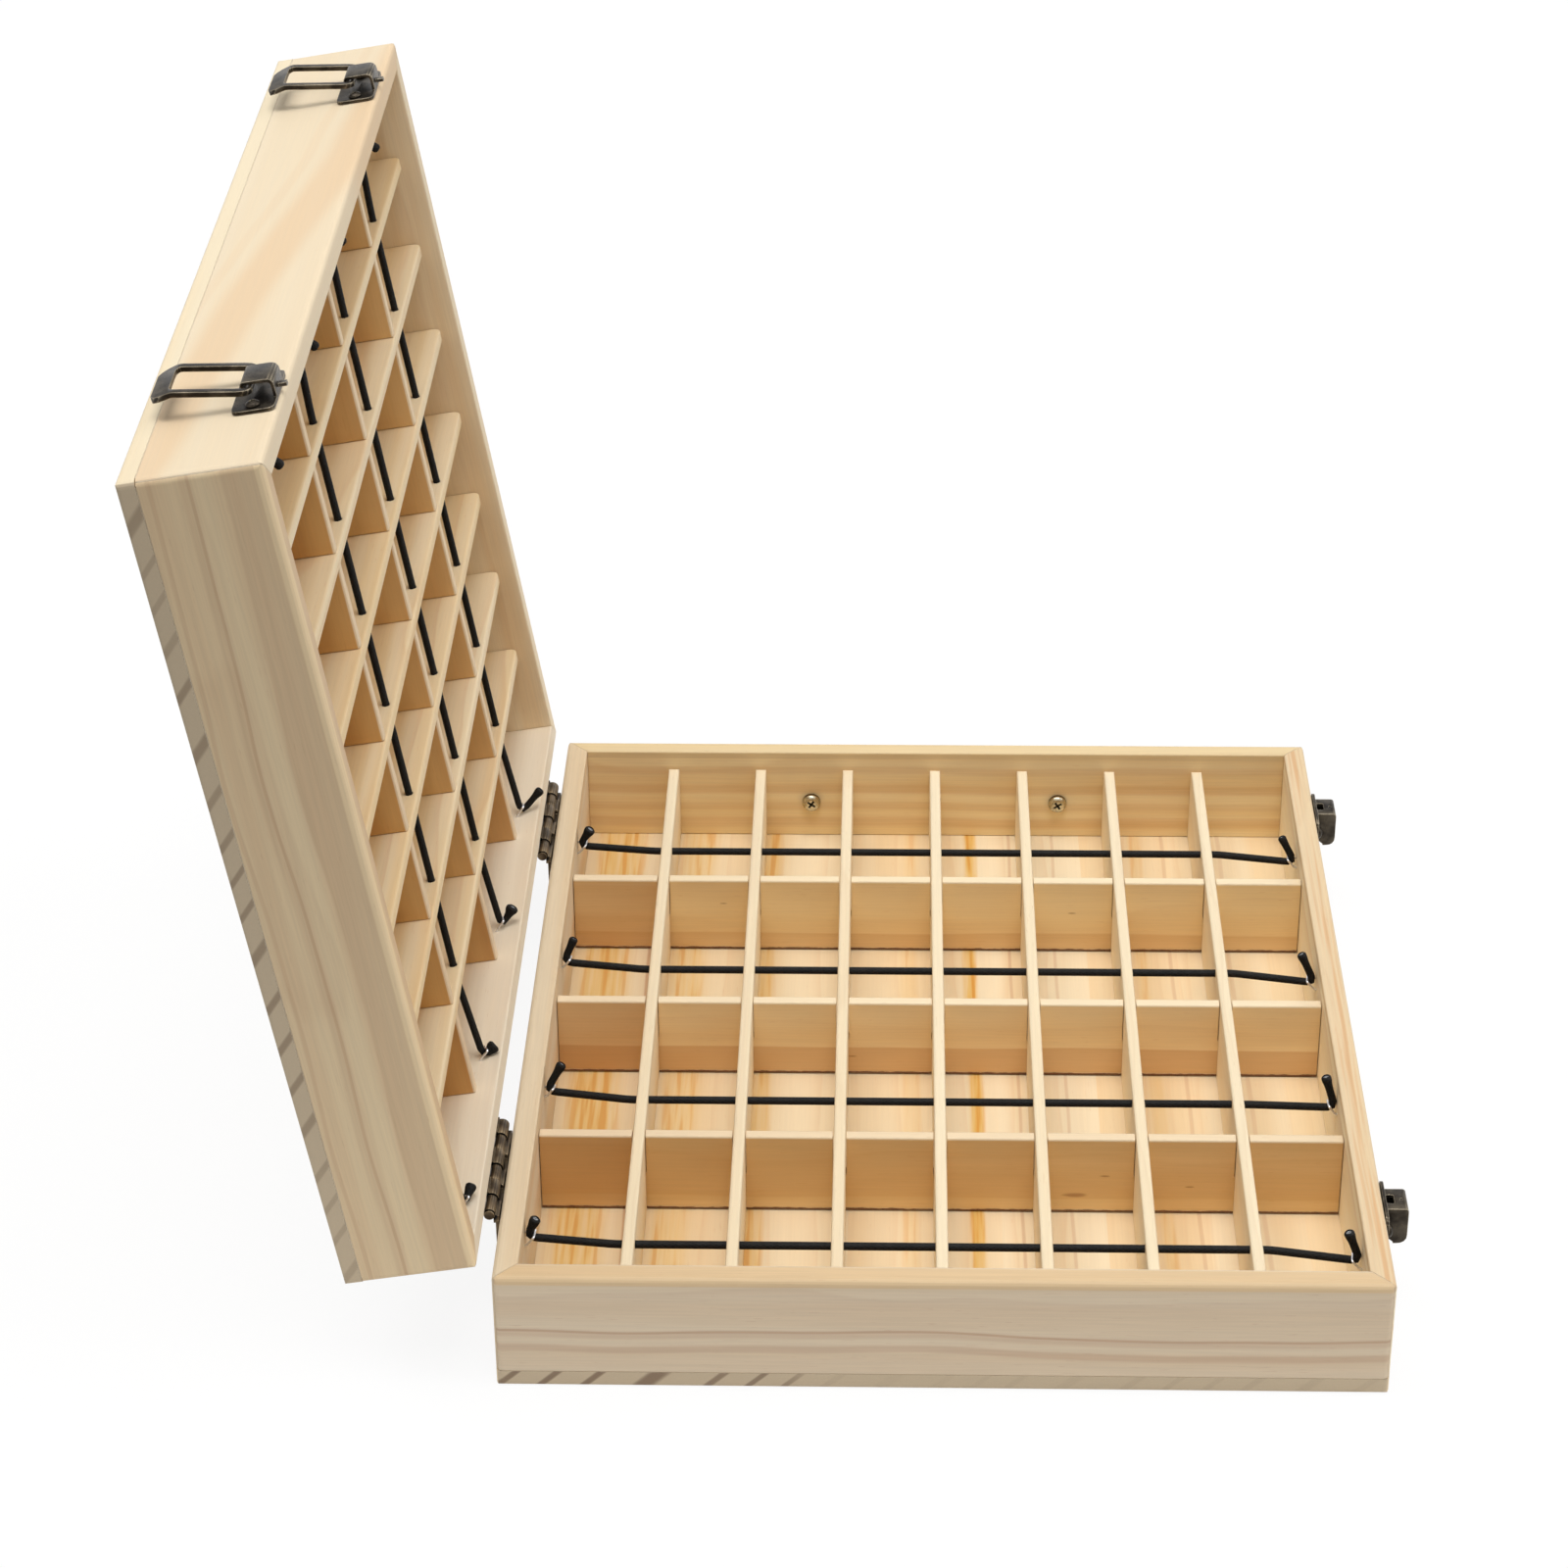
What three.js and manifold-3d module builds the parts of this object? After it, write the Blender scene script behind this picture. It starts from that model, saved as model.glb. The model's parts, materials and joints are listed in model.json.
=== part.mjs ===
// Essential oil storage box: two shallow pine trays hinged at one side, each with a grid of
// dividers and four elastic retaining cords, two swing latches and a drop handle.
// Millimetres, +Z up. Origin: middle of the underside of the base. The hinge side is -X, the
// latch side +X, the handle side +Y. The lid is drawn open on its stop, as it stands at rest.
import * as THREE from 'three';
import { mergeVertices } from 'three/addons/utils/BufferGeometryUtils.js';
import Module from 'manifold-3d';

const wasm = await Module();
wasm.setup();

// The two trays
const caseWidth = 340;
const caseDepth = 406;
const trayHeight = 51;
const wallThickness = 9.5;
const panelThickness = 6.8;
const cornerRadius = 2.5;
const rimOuterRadius = 2.7;
const rimInnerRadius = 0.8;
const panelEdgeRadius = 1.5;
const seatGap = 0.3;
const closingGap = 0.4;
const openAngle = 99.5;

// The divider grid
const columns = 8;
const rows = 4;
const dividerThickness = 4.8;
const longDividerDrop = 7.4;
const crossDividerDrop = 8.2;
const crossFloorGap = 1.6;
const longEdgeRadius = 1;
const crossEdgeRadius = 0.7;
const longEndRadius = 4.5;
const lapHeight = 25;

// The elastic cords
const cordDiameter = 2.8;
const cordHoleDiameter = 3.5;
const cordDrop = 11;
const cordForward = 21.5;
const cordBend = 3.8;
const cordPinch = 1;
// Each cord end in turn, far row first, counted in cord diameters: how far its staple stands
// towards the far side of the hole line, how deep the staple and the tip of the tail lie under
// the rim, how far the tip leans off the wall, and how far it leans to the far side. A tip with
// a drop below zero stands past the rim, where the other tray is hollow.
const baseHingeShares = [
  [0.8, 3.45, 0.3, 2.1, 0], [1.3, 3.55, -0.2, 1.8, 0.9],
  [1.4, 3.45, -0.6, 2.5, 1.1], [0.85, 3.4, 0.3, 1.5, 0.1],
];
const baseLatchShares = [
  [-0.85, 4.75, 0.6, 2.4, 0.95], [-1.3, 4.65, -0.3, 2.4, 0.4],
  [0.4, 4.6, -0.5, 1.7, 0.5], [-1.5, 4.5, -0.4, 2.0, 0],
];
const lidHingeShares = [
  [-2.5, 2.75, -0.95, 3.1, 1.3], [-1.4, 3.0, 0.7, 2.8, 0.85],
  [-1.7, 2.6, 0.7, 1.2, 1.0], [-3.2, 2.0, 0.7, 1.9, 2.4],
];
const lidLatchShares = [
  [0.3, 3.5, 0.9, 3.0, 0.6], [0.3, 3.7, 1.6, 3.0, 0.4],
  [0.3, 3.5, 1.1, 3.3, 0.5], [0.3, 3.5, 1.1, 3.6, 0.3],
];

// The hinges
const hingeInset = 71;
const hingeShift = -1.4;
const hingeLength = 60;
const hingeOffset = 4;
const leafWidth = 20;
const leafThickness = 1.4;
const leafEdge = 2.4;
const leafCornerRadius = 1.5;
const lidKnuckleRadius = 2.75;
const baseKnuckleRadius = 2.35;
const knuckleBore = 1.5;
const knuckleCount = 6;
const pinRadius = 1.2;
const pinHeadRadius = 2.1;
const pinHeadHeight = 0.4;
const webDepth = 2.2;
const webStart = 0.5;
const webEnd = 4;
const leafScrewRadius = 1.7;
const leafScrewInset = 9;
const leafScrewSpacing = 21;

// The latches
const latchInset = 55;
const latchShift = 1.2;
const sheet = 1.2;
const latchPlateWidth = 31;
const latchPlateStart = 1.1;
const latchPlateEnd = 16.5;
const latchPlateCorner = 3;
const latchScrewSpread = 11.5;
const latchScrewRadius = 1.4;
const latchScrewDepth = 9;
const strapWidth = 14;
const strapHeight = 8.5;
const strapReach = 13;
const strapLip = 4.9;
const strapBend = 2.4;
const foldBend = 1;
const toothWidth = 2.2;
const toothThickness = 1.4;
const toothHeight = 3;
const toothReach = 3;
const ringPivotDepth = 9.5;
const ringPivotHeight = 6;
const ringWidth = 24;
const ringRail = 2.7;
const ringThickness = 2;
const ringWindow = 28;
const ringLength = 34.2;
const ringLean = 8.5;
const ringRootCorner = 5.5;
const ringTipCorner = 7;
const windowStart = 0.4;
const windowCorner = 2.4;
const lipLength = 7.2;
const lipDip = 3.2;
const lipBend = 6;
const rootBarLength = 16.4;
const rootNotch = 0.8;

// The catches
const catchWidth = 13.2;
const catchTopDrop = 1;
const catchHeight = 16.2;
const catchDepth = 9.7;
const catchCurl = 3.4;
const catchCurlEnd = 4.4;
const catchTail = 20;
const catchEarWidth = 28;
const catchEarHeight = 12;
const catchEarCorner = 4;
const catchScrewSpread = 10.8;
const catchScrewDepth = 7;
const catchCheekHeight = 12.6;
const catchHoleDepth = 3;
const catchHoleWidth = 5.6;
const catchHoleCorner = 0.8;
const catchDimple = 1.1;
const catchDimpleHeight = 7.3;

// The handle
const postSpread = 57;
const handleHeight = 25;
const handleReach = 12;
const rosetteRadius = 5.4;
const rosetteThickness = 1.6;
const postNeckRadius = 3.4;
const postHeadRadius = 4.3;
const postBoreDepth = 8;
const bailPinRadius = 1.4;
const bailPinClearance = 0.3;
const bailPinInset = 3.5;
const bailArmGap = 0.5;
const bailDrop = 20.5;
const bailRadius = 2.4;
const gripEndRadius = 2.2;
const bailCorner = 9;
const gripRadius = 3;
const gripLength = 70;
const gripEase = 6;
const screwRadius = 2;
const screwClearance = 0.3;
const screwHeadRadius = 4.2;
const screwHeadHeight = 3;
const screwHeadRound = 1.4;
const screwHeadCrown = 0.5;
const screwSlotLength = 4.6;
const screwSlotWidth = 1;
const screwSlotDepth = 1.5;

// Facets: how many straight steps stand for each bend, and for a quarter of each round
const edgeSteps = 2;
const bendSteps = 4;
const fineQuarter = 5;
const plainQuarter = 4;
const smallQuarter = 2;
const bailQuarter = 3;
const headSteps = 5;
const weldDistance = 1e-5;

// Worked out from the sizes above
const innerWidth = caseWidth - 2 * wallThickness;
const innerDepth = caseDepth - 2 * wallThickness;
const columnPitch = innerWidth / columns;
const rowPitch = innerDepth / rows;
const wallFoot = panelThickness + seatGap;
const longTop = trayHeight - longDividerDrop;
const crossTop = trayHeight - crossDividerDrop;
const cordHeight = trayHeight - cordDrop;
const cordRadius = cordDiameter / 2;
const cordWallPlace = innerWidth / 2 - seatGap - cordRadius;
const hingeX = -caseWidth / 2 - hingeOffset;
const hingeZ = trayHeight + closingGap / 2;
const lidRim = trayHeight + closingGap;
const hingePlace = caseDepth / 2 - hingeInset;
const latchPlace = caseDepth / 2 - latchInset;
const places = [['far', 1], ['near', -1]];
const handleY = caseDepth / 2 + handleReach;

// A solid from a closed three.js geometry
function solid(geometry) {
  const bare = geometry.clone();
  bare.deleteAttribute('normal');
  bare.deleteAttribute('uv');
  const merged = mergeVertices(bare, weldDistance);
  return new wasm.Manifold(new wasm.Mesh({
    numProp: 3,
    vertProperties: new Float32Array(merged.attributes.position.array),
    triVerts: new Uint32Array(merged.index.array),
  }));
}

function mesh(name, body, material, x = 0, y = 0, z = 0) {
  const data = body.getMesh();
  const geometry = new THREE.BufferGeometry();
  geometry.setAttribute('position', new THREE.BufferAttribute(data.vertProperties, 3));
  geometry.setIndex(new THREE.BufferAttribute(data.triVerts, 1));
  const flat = geometry.toNonIndexed();
  flat.computeVertexNormals();
  const piece = new THREE.Mesh(flat, material());
  piece.name = name;
  piece.position.set(x, y, z);
  return piece;
}

// The point at the given length before or after a corner, on the way to its neighbour
function towards(corner, neighbour, length) {
  return neighbour.clone().sub(corner).setLength(length).add(corner);
}

// Draws one rounded corner into a path; corners are [u, v] or [u, v, radius]
function turn(path, before, at, after) {
  const corner = new THREE.Vector2(at[0], at[1]);
  const from = new THREE.Vector2(before[0], before[1]);
  const to = new THREE.Vector2(after[0], after[1]);
  const bend = Math.PI - from.clone().sub(corner).angleTo(to.clone().sub(corner));
  const cut = (at[2] ?? 0) * Math.tan(bend / 2);
  if (cut === 0) {
    path.lineTo(corner.x, corner.y);
    return;
  }
  const start = towards(corner, from, cut);
  const end = towards(corner, to, cut);
  path.lineTo(start.x, start.y);
  path.quadraticCurveTo(corner.x, corner.y, end.x, end.y);
}

function outline(corners) {
  const shape = new THREE.Shape();
  const last = corners.length - 1;
  const begin = [(corners[0][0] + corners[last][0]) / 2, (corners[0][1] + corners[last][1]) / 2];
  shape.moveTo(begin[0], begin[1]);
  corners.forEach((corner, i) => {
    turn(shape, corners[i - 1] ?? begin, corner, corners[i + 1] ?? begin);
  });
  return shape;
}

// An outline of constant thickness about a bent centre line
function bentSheet(corners, thickness) {
  const path = new THREE.Path();
  const last = corners.length - 1;
  path.moveTo(corners[0][0], corners[0][1]);
  for (let i = 1; i < last; i += 1) {
    turn(path, corners[i - 1], corners[i], corners[i + 1]);
  }
  path.lineTo(corners[last][0], corners[last][1]);
  const line = path.getPoints(bendSteps);
  const near = [];
  const far = [];
  line.forEach((point, i) => {
    const into = point.clone().sub(line[i - 1] ?? point).normalize();
    const out = (line[i + 1] ?? point).clone().sub(point).normalize();
    const along = into.add(out).normalize();
    const leg = i === 0 ? out : point.clone().sub(line[i - 1]).normalize();
    const width = thickness / 2 / along.dot(leg);
    const side = new THREE.Vector2(-along.y, along.x).multiplyScalar(width);
    near.push(point.clone().add(side));
    far.unshift(point.clone().sub(side));
  });
  return new THREE.Shape([...near, ...far]);
}

function rectangle(uMin, uMax, vMin, vMax, radius = 0) {
  return outline([
    [uMin, vMin, radius], [uMax, vMin, radius], [uMax, vMax, radius], [uMin, vMax, radius],
  ]);
}

function circle(u, v, radius) {
  const shape = new THREE.Shape();
  shape.absarc(u, v, radius, 0, 2 * Math.PI, false);
  return shape;
}

// A circle in the shape gets twice as many sides as a bend gets steps
function extrude(shape, length, steps) {
  return new THREE.ExtrudeGeometry(shape, {
    depth: length, bevelEnabled: false, curveSegments: steps, steps: 1,
  });
}

// Outline in (y, z), pushed along X from x = start
function alongX(shape, start, length, steps = bendSteps) {
  const axes = new THREE.Matrix4().makeBasis(
    new THREE.Vector3(0, 1, 0), new THREE.Vector3(0, 0, 1), new THREE.Vector3(1, 0, 0),
  );
  return extrude(shape, length, steps).applyMatrix4(axes).translate(start, 0, 0);
}

// Outline in (x, z), pushed along Y, centred on the given place
function alongY(shape, length, middle = 0, steps = bendSteps) {
  return extrude(shape, length, steps)
    .translate(0, 0, -length / 2)
    .rotateX(Math.PI / 2)
    .translate(0, middle, 0);
}

// Outline in (x, y), pushed along Z from z = start
function alongZ(shape, start, length, steps = bendSteps) {
  return extrude(shape, length, steps).translate(0, 0, start);
}

// A round bar along Y turned from [radius, y] points that start and end on the axis
function turned(profile, quarter) {
  return new THREE.LatheGeometry(profile.map(([r, y]) => new THREE.Vector2(r, y)), 4 * quarter);
}

function bar(radius, length, middle, quarter) {
  return new THREE.CylinderGeometry(radius, radius, length, 4 * quarter).translate(0, middle, 0);
}

// A polyline that a section is swept along, one station at each of its points
class Route extends THREE.Curve {
  constructor(points) {
    super();
    this.points = points;
  }

  getPoint(share) {
    return this.points[Math.round(share * (this.points.length - 1))].clone();
  }

  getPointAt(share) {
    return this.getPoint(share);
  }

  getTangentAt(share) {
    const i = Math.round(share * (this.points.length - 1));
    const point = this.points[i];
    const into = point.clone().sub(this.points[i - 1] ?? point).normalize();
    const out = (this.points[i + 1] ?? point).clone().sub(point).normalize();
    return into.add(out).normalize();
  }
}

// Points of a bent line; each inner corner is rounded by cutting its length off both legs, or
// kept as it is where that length is zero
function roundedRoute(corners, cuts, steps) {
  const points = [corners[0]];
  for (let i = 1; i < corners.length - 1; i += 1) {
    const cut = cuts[i - 1];
    if (cut === 0) {
      points.push(corners[i]);
    } else {
      const start = towards(corners[i], corners[i - 1], cut);
      const end = towards(corners[i], corners[i + 1], cut);
      points.push(...new THREE.QuadraticBezierCurve3(start, corners[i], end).getPoints(steps));
    }
  }
  points.push(corners[corners.length - 1]);
  return points;
}

function rod(points, radius, quarter) {
  return new THREE.ExtrudeGeometry(circle(0, 0, radius), {
    curveSegments: 2 * quarter,
    steps: points.length - 1,
    extrudePath: new Route(points),
    bevelEnabled: false,
  });
}

function finish(color, roughness, metalness) {
  return () => new THREE.MeshStandardMaterial({ color, roughness, metalness });
}

const pine = finish(0xe2c498, 0.62, 0);
const board = finish(0xd9b47c, 0.58, 0);
const dividerPine = finish(0xdcbb8a, 0.62, 0);
const elastic = finish(0x14130f, 0.8, 0);
const bronze = finish(0x3d352d, 0.42, 0.9);
const hingeBronze = finish(0x5a4630, 0.45, 0.85);
const steel = finish(0xb9bbbd, 0.25, 1);

// Tray pieces, drawn with the floor at the bottom and the rim at the top

// One mitred wall, its outer face turned to -Y before it is placed
function wall(length) {
  const half = length / 2 - seatGap * Math.SQRT1_2;
  const round = cornerRadius;
  const plan = new THREE.Shape();
  plan.absarc(-half + round, round, round, 1.25 * Math.PI, 1.5 * Math.PI, false);
  plan.absarc(half - round, round, round, 1.5 * Math.PI, 1.75 * Math.PI, false);
  plan.lineTo(half - wallThickness, wallThickness);
  plan.lineTo(-half + wallThickness, wallThickness);
  const section = outline([
    [0, wallFoot], [wallThickness, wallFoot],
    [wallThickness, trayHeight, rimInnerRadius], [0, trayHeight, rimOuterRadius],
  ]);
  const upright = solid(alongZ(plan, 0, trayHeight, edgeSteps));
  return upright.intersect(solid(alongX(section, -length / 2, length)));
}

// Sets a wall on its side of the case, a number of quarter turns from the near side
function placeWall(piece, quarterTurns, reach) {
  const angle = quarterTurns * Math.PI / 2;
  piece.rotation.z = angle;
  piece.position.set(reach * Math.sin(angle), -reach * Math.cos(angle), 0);
  return piece;
}

function panel() {
  const edge = panelEdgeRadius;
  const sideSection = (half) => outline([
    [-half, 0, edge], [half, 0, edge], [half, panelThickness], [-half, panelThickness],
  ]);
  const plan = rectangle(-caseWidth / 2, caseWidth / 2, -caseDepth / 2, caseDepth / 2, cornerRadius);
  return solid(alongZ(plan, 0, panelThickness))
    .intersect(solid(alongY(sideSection(caseWidth / 2), caseDepth)))
    .intersect(solid(alongX(sideSection(caseDepth / 2), -caseWidth / 2, caseWidth)));
}

function columnLines() {
  return Array.from({ length: columns - 1 }, (_, i) => (i + 1 - columns / 2) * columnPitch);
}

function rowLines() {
  return Array.from({ length: rows - 1 }, (_, i) => (i + 1 - rows / 2) * rowPitch);
}

// The line of each cord along X, far row first; forward is -1 in the base and +1 in the lid,
// which is turned over when it is set on the base
function cordLines(forward) {
  return Array.from({ length: rows }, (_, i) => (
    -forward * ((rows - 1) / 2 - i) * rowPitch + forward * cordForward
  ));
}

// A divider that runs from the near to the far wall, notched from below over the cross dividers
function longDivider(forward) {
  const half = innerDepth / 2 - seatGap;
  const slot = dividerThickness / 2 + seatGap;
  const corners = [[-half, longTop, longEndRadius], [-half, wallFoot]];
  rowLines().forEach((y) => {
    corners.push([y - slot, wallFoot], [y - slot, lapHeight + seatGap]);
    corners.push([y + slot, lapHeight + seatGap], [y + slot, wallFoot]);
  });
  corners.push([half, wallFoot], [half, longTop, longEndRadius]);
  const side = outline(corners);
  side.holes = cordLines(forward).map((y) => circle(y, cordHeight, cordHoleDiameter / 2));
  const thick = dividerThickness / 2;
  const section = outline([
    [-thick, wallFoot], [thick, wallFoot],
    [thick, longTop, longEdgeRadius], [-thick, longTop, longEdgeRadius],
  ]);
  return solid(alongX(side, -thick, dividerThickness))
    .intersect(solid(alongY(section, innerDepth, 0, edgeSteps)));
}

// A divider that runs from the hinge wall to the latch wall, notched from above
function crossDivider() {
  const half = innerWidth / 2 - seatGap;
  const slot = dividerThickness / 2 + seatGap;
  const foot = panelThickness + crossFloorGap;
  const corners = [[half, crossTop], [half, foot], [-half, foot], [-half, crossTop]];
  columnLines().forEach((x) => {
    corners.push([x - slot, crossTop], [x - slot, lapHeight]);
    corners.push([x + slot, lapHeight], [x + slot, crossTop]);
  });
  const thick = dividerThickness / 2;
  const section = outline([
    [-thick, foot], [thick, foot],
    [thick, crossTop, crossEdgeRadius], [-thick, crossTop, crossEdgeRadius],
  ]);
  const side = solid(alongY(outline(corners), dividerThickness));
  return side.intersect(solid(alongX(section, -half, 2 * half, edgeSteps)));
}

// The corners of one cord end: the kink beside the last divider, the staple at the wall and
// the tip of the tail that stands up from it
function cordEnd(side, line, forward, shares) {
  const [across, stapleDrop, tipDrop, lean, drift] = shares.map((share) => share * cordDiameter);
  const lastDivider = columnLines()[columns - 2];
  const kink = lastDivider + dividerThickness / 2 + cordDiameter;
  const stapleY = line - forward * across;
  return [
    new THREE.Vector3(side * kink, line, cordHeight),
    new THREE.Vector3(side * (cordWallPlace + cordPinch), stapleY, trayHeight - stapleDrop),
    new THREE.Vector3(side * (cordWallPlace + cordRadius - lean), stapleY - forward * drift,
      trayHeight - tipDrop),
  ];
}

// An elastic cord with both ends bent up at the walls
function cord(line, forward, hingeShares, latchShares) {
  const hingeEnd = cordEnd(-1, line, forward, hingeShares).reverse();
  const latchEnd = cordEnd(1, line, forward, latchShares);
  const points = roundedRoute([...hingeEnd, ...latchEnd], [cordBend, 0, 0, cordBend], bendSteps);
  return solid(rod(points, cordRadius, smallQuarter));
}

// All the pieces of one tray
function tray(prefix, forward, hingeShares, latchShares) {
  const group = new THREE.Group();
  const sides = [
    ['near', 0, caseWidth, caseDepth / 2], ['latch', 1, caseDepth, caseWidth / 2],
    ['far', 2, caseWidth, caseDepth / 2], ['hinge', 3, caseDepth, caseWidth / 2],
  ];
  // The lid is turned over, so its near and far walls change places
  const turnedOver = { near: 'far', far: 'near' };
  sides.forEach(([side, quarterTurns, length, reach]) => {
    const carriesHandle = prefix === 'base' && side === 'far';
    const body = carriesHandle ? wall(length).subtract(handleBores()) : wall(length);
    const place = forward > 0 ? turnedOver[side] ?? side : side;
    const piece = mesh(`${prefix}_wall_${place}`, body, pine);
    group.add(placeWall(piece, quarterTurns, reach));
  });
  group.add(mesh(`${prefix}_panel`, panel(), board));
  columnLines().forEach((x, i) => {
    group.add(mesh(`${prefix}_long_divider_${i + 1}`, longDivider(forward), dividerPine, x));
  });
  rowLines().forEach((y, i) => {
    const place = forward > 0 ? i + 1 : rows - 1 - i;
    group.add(mesh(`${prefix}_cross_divider_${place}`, crossDivider(), dividerPine, 0, y));
  });
  cordLines(forward).forEach((line, i) => {
    const body = cord(line, forward, hingeShares[i], latchShares[i]);
    group.add(mesh(`${prefix}_cord_${i + 1}`, body, elastic));
  });
  return group;
}

// Hinges, drawn about their own axis with the case at +X; side is -1 for the base leaf and
// +1 for the lid leaf

function hingeLeaf(side) {
  const outer = hingeOffset - seatGap;
  const edge = side * leafEdge;
  const end = side * (leafEdge + leafWidth);
  const half = hingeLength / 2;
  const plate = rectangle(-half, half, Math.min(edge, end), Math.max(edge, end), leafCornerRadius);
  plate.holes = [-leafScrewSpacing, 0, leafScrewSpacing].map((y) => (
    circle(y, side * (leafEdge + leafScrewInset), leafScrewRadius)
  ));
  let body = solid(alongX(plate, outer - leafThickness, leafThickness));
  const knuckleRadius = side > 0 ? lidKnuckleRadius : baseKnuckleRadius;
  const pitch = hingeLength / knuckleCount;
  const webRange = [side * webStart, side * webEnd].sort((a, b) => a - b);
  for (let i = side > 0 ? 0 : 1; i < knuckleCount; i += 2) {
    const middle = half - (i + 0.5) * pitch;
    const web = rectangle(outer - webDepth, outer, ...webRange);
    body = body.add(solid(alongY(web, pitch - seatGap, middle)));
    body = body.add(solid(bar(knuckleRadius, pitch - seatGap, middle, plainQuarter)));
  }
  return body.subtract(solid(bar(knuckleBore, hingeLength + leafThickness, 0, plainQuarter)));
}

function hingePin() {
  const half = hingeLength / 2 + seatGap;
  return solid(turned([
    [0, -half - pinHeadHeight], [pinHeadRadius, -half - pinHeadHeight], [pinHeadRadius, -half],
    [pinRadius, -half], [pinRadius, half],
    [pinHeadRadius, half], [pinHeadRadius, half + pinHeadHeight], [0, half + pinHeadHeight],
  ], plainQuarter));
}

// Latches, drawn with X outwards from the wall face and Z away from the rim

// The screwed plate with the bent strap that holds the ring, and the tooth that enters the catch
function latchPlate() {
  const face = seatGap;
  const middle = face + sheet / 2;
  const fold = latchPlateStart + sheet / 2;
  const top = strapHeight - sheet / 2;
  const reach = strapReach - sheet / 2;
  const profile = bentSheet([
    [middle, latchPlateEnd - latchPlateCorner], [middle, fold, foldBend],
    [top, fold, strapBend], [top, reach, foldBend], [strapLip, reach],
  ], sheet);
  const plate = rectangle(
    -latchPlateWidth / 2, latchPlateWidth / 2, latchPlateStart, latchPlateEnd, latchPlateCorner,
  );
  plate.holes = [-latchScrewSpread, latchScrewSpread].map((y) => (
    circle(y, latchScrewDepth, latchScrewRadius)
  ));
  const tooth = rectangle(-toothWidth / 2, toothWidth / 2, latchPlateStart - toothReach, fold);
  return solid(alongY(profile, strapWidth))
    .add(solid(alongX(plate, face, sheet)))
    .add(solid(alongX(tooth, toothHeight - toothThickness / 2, toothThickness)));
}

// The swinging ring about its root bar, its finger lip bent towards the wall while the latch is
// open, so that it points away from the wall when the ring is hooked
function latchRing() {
  const half = ringThickness / 2;
  const profile = bentSheet([
    [0, -half], [0, ringLength - lipLength, lipBend], [-lipDip, ringLength],
  ], ringThickness);
  const plan = outline([
    [-ringWidth / 2, -half, ringRootCorner], [ringWidth / 2, -half, ringRootCorner],
    [ringWidth / 2, ringLength + half, ringTipCorner], [-ringWidth / 2, ringLength + half, ringTipCorner],
  ]);
  const windowHalf = ringWidth / 2 - ringRail;
  plan.holes = [rectangle(-windowHalf, windowHalf, windowStart, ringWindow, windowCorner)];
  const reach = lipDip + ringThickness;
  const notch = rectangle(-rootBarLength / 2, rootBarLength / 2, -ringThickness, rootNotch);
  return solid(alongX(plan, -reach, reach + ringThickness))
    .intersect(solid(alongY(profile, ringWidth)))
    .subtract(solid(alongX(notch, -ringThickness, 2 * ringThickness)))
    .add(solid(bar(half, rootBarLength + half, 0, plainQuarter)));
}

// The bent hood that the ring hooks under; Z runs up to the rim, X outwards from the wall
function latchCatch() {
  const face = seatGap;
  const top = -catchTopDrop;
  const middle = face + sheet / 2;
  const front = catchDepth - sheet / 2;
  const foot = top - catchHeight;
  const hood = bentSheet([
    [middle, top - catchTail], [middle, top - sheet / 2, foldBend],
    [front, top - sheet / 2, foldBend], [front, foot + sheet / 2, catchCurl],
    [catchCurlEnd, foot + sheet / 2],
  ], sheet);
  const ears = rectangle(
    -catchEarWidth / 2, catchEarWidth / 2, top - catchEarHeight, top, catchEarCorner,
  );
  ears.holes = [-catchScrewSpread, catchScrewSpread].map((y) => (
    circle(y, top - catchScrewDepth, latchScrewRadius)
  ));
  let body = solid(alongY(hood, catchWidth)).add(solid(alongX(ears, face, sheet)));
  const cheek = outline([
    [middle, top - sheet / 2], [front, top - sheet / 2], [front, foot + sheet / 2, catchCurl],
    [catchCurlEnd, foot + sheet / 2], [middle, top - catchCheekHeight],
  ]);
  [-1, 1].forEach((side) => {
    body = body.add(solid(alongY(cheek, sheet, side * (catchWidth - sheet) / 2)));
  });
  const hole = rectangle(
    toothHeight - catchHoleDepth / 2, toothHeight + catchHoleDepth / 2,
    -catchHoleWidth / 2, catchHoleWidth / 2, catchHoleCorner,
  );
  const dimple = circle(catchDimpleHeight, 0, catchDimple / 2);
  return body
    .subtract(solid(alongZ(hole, top - 2 * sheet, 3 * sheet)))
    .subtract(solid(alongZ(dimple, top - 2 * sheet, 3 * sheet)));
}

// Handle

// The two screw bores of the handle, in the frame of the wall that carries it
function handleBores() {
  const radius = screwRadius + screwClearance;
  return [-postSpread, postSpread]
    .map((x) => bar(radius, 2 * wallThickness, 0, plainQuarter).translate(x, 0, handleHeight))
    .map(solid)
    .reduce((all, one) => all.add(one));
}

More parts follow.
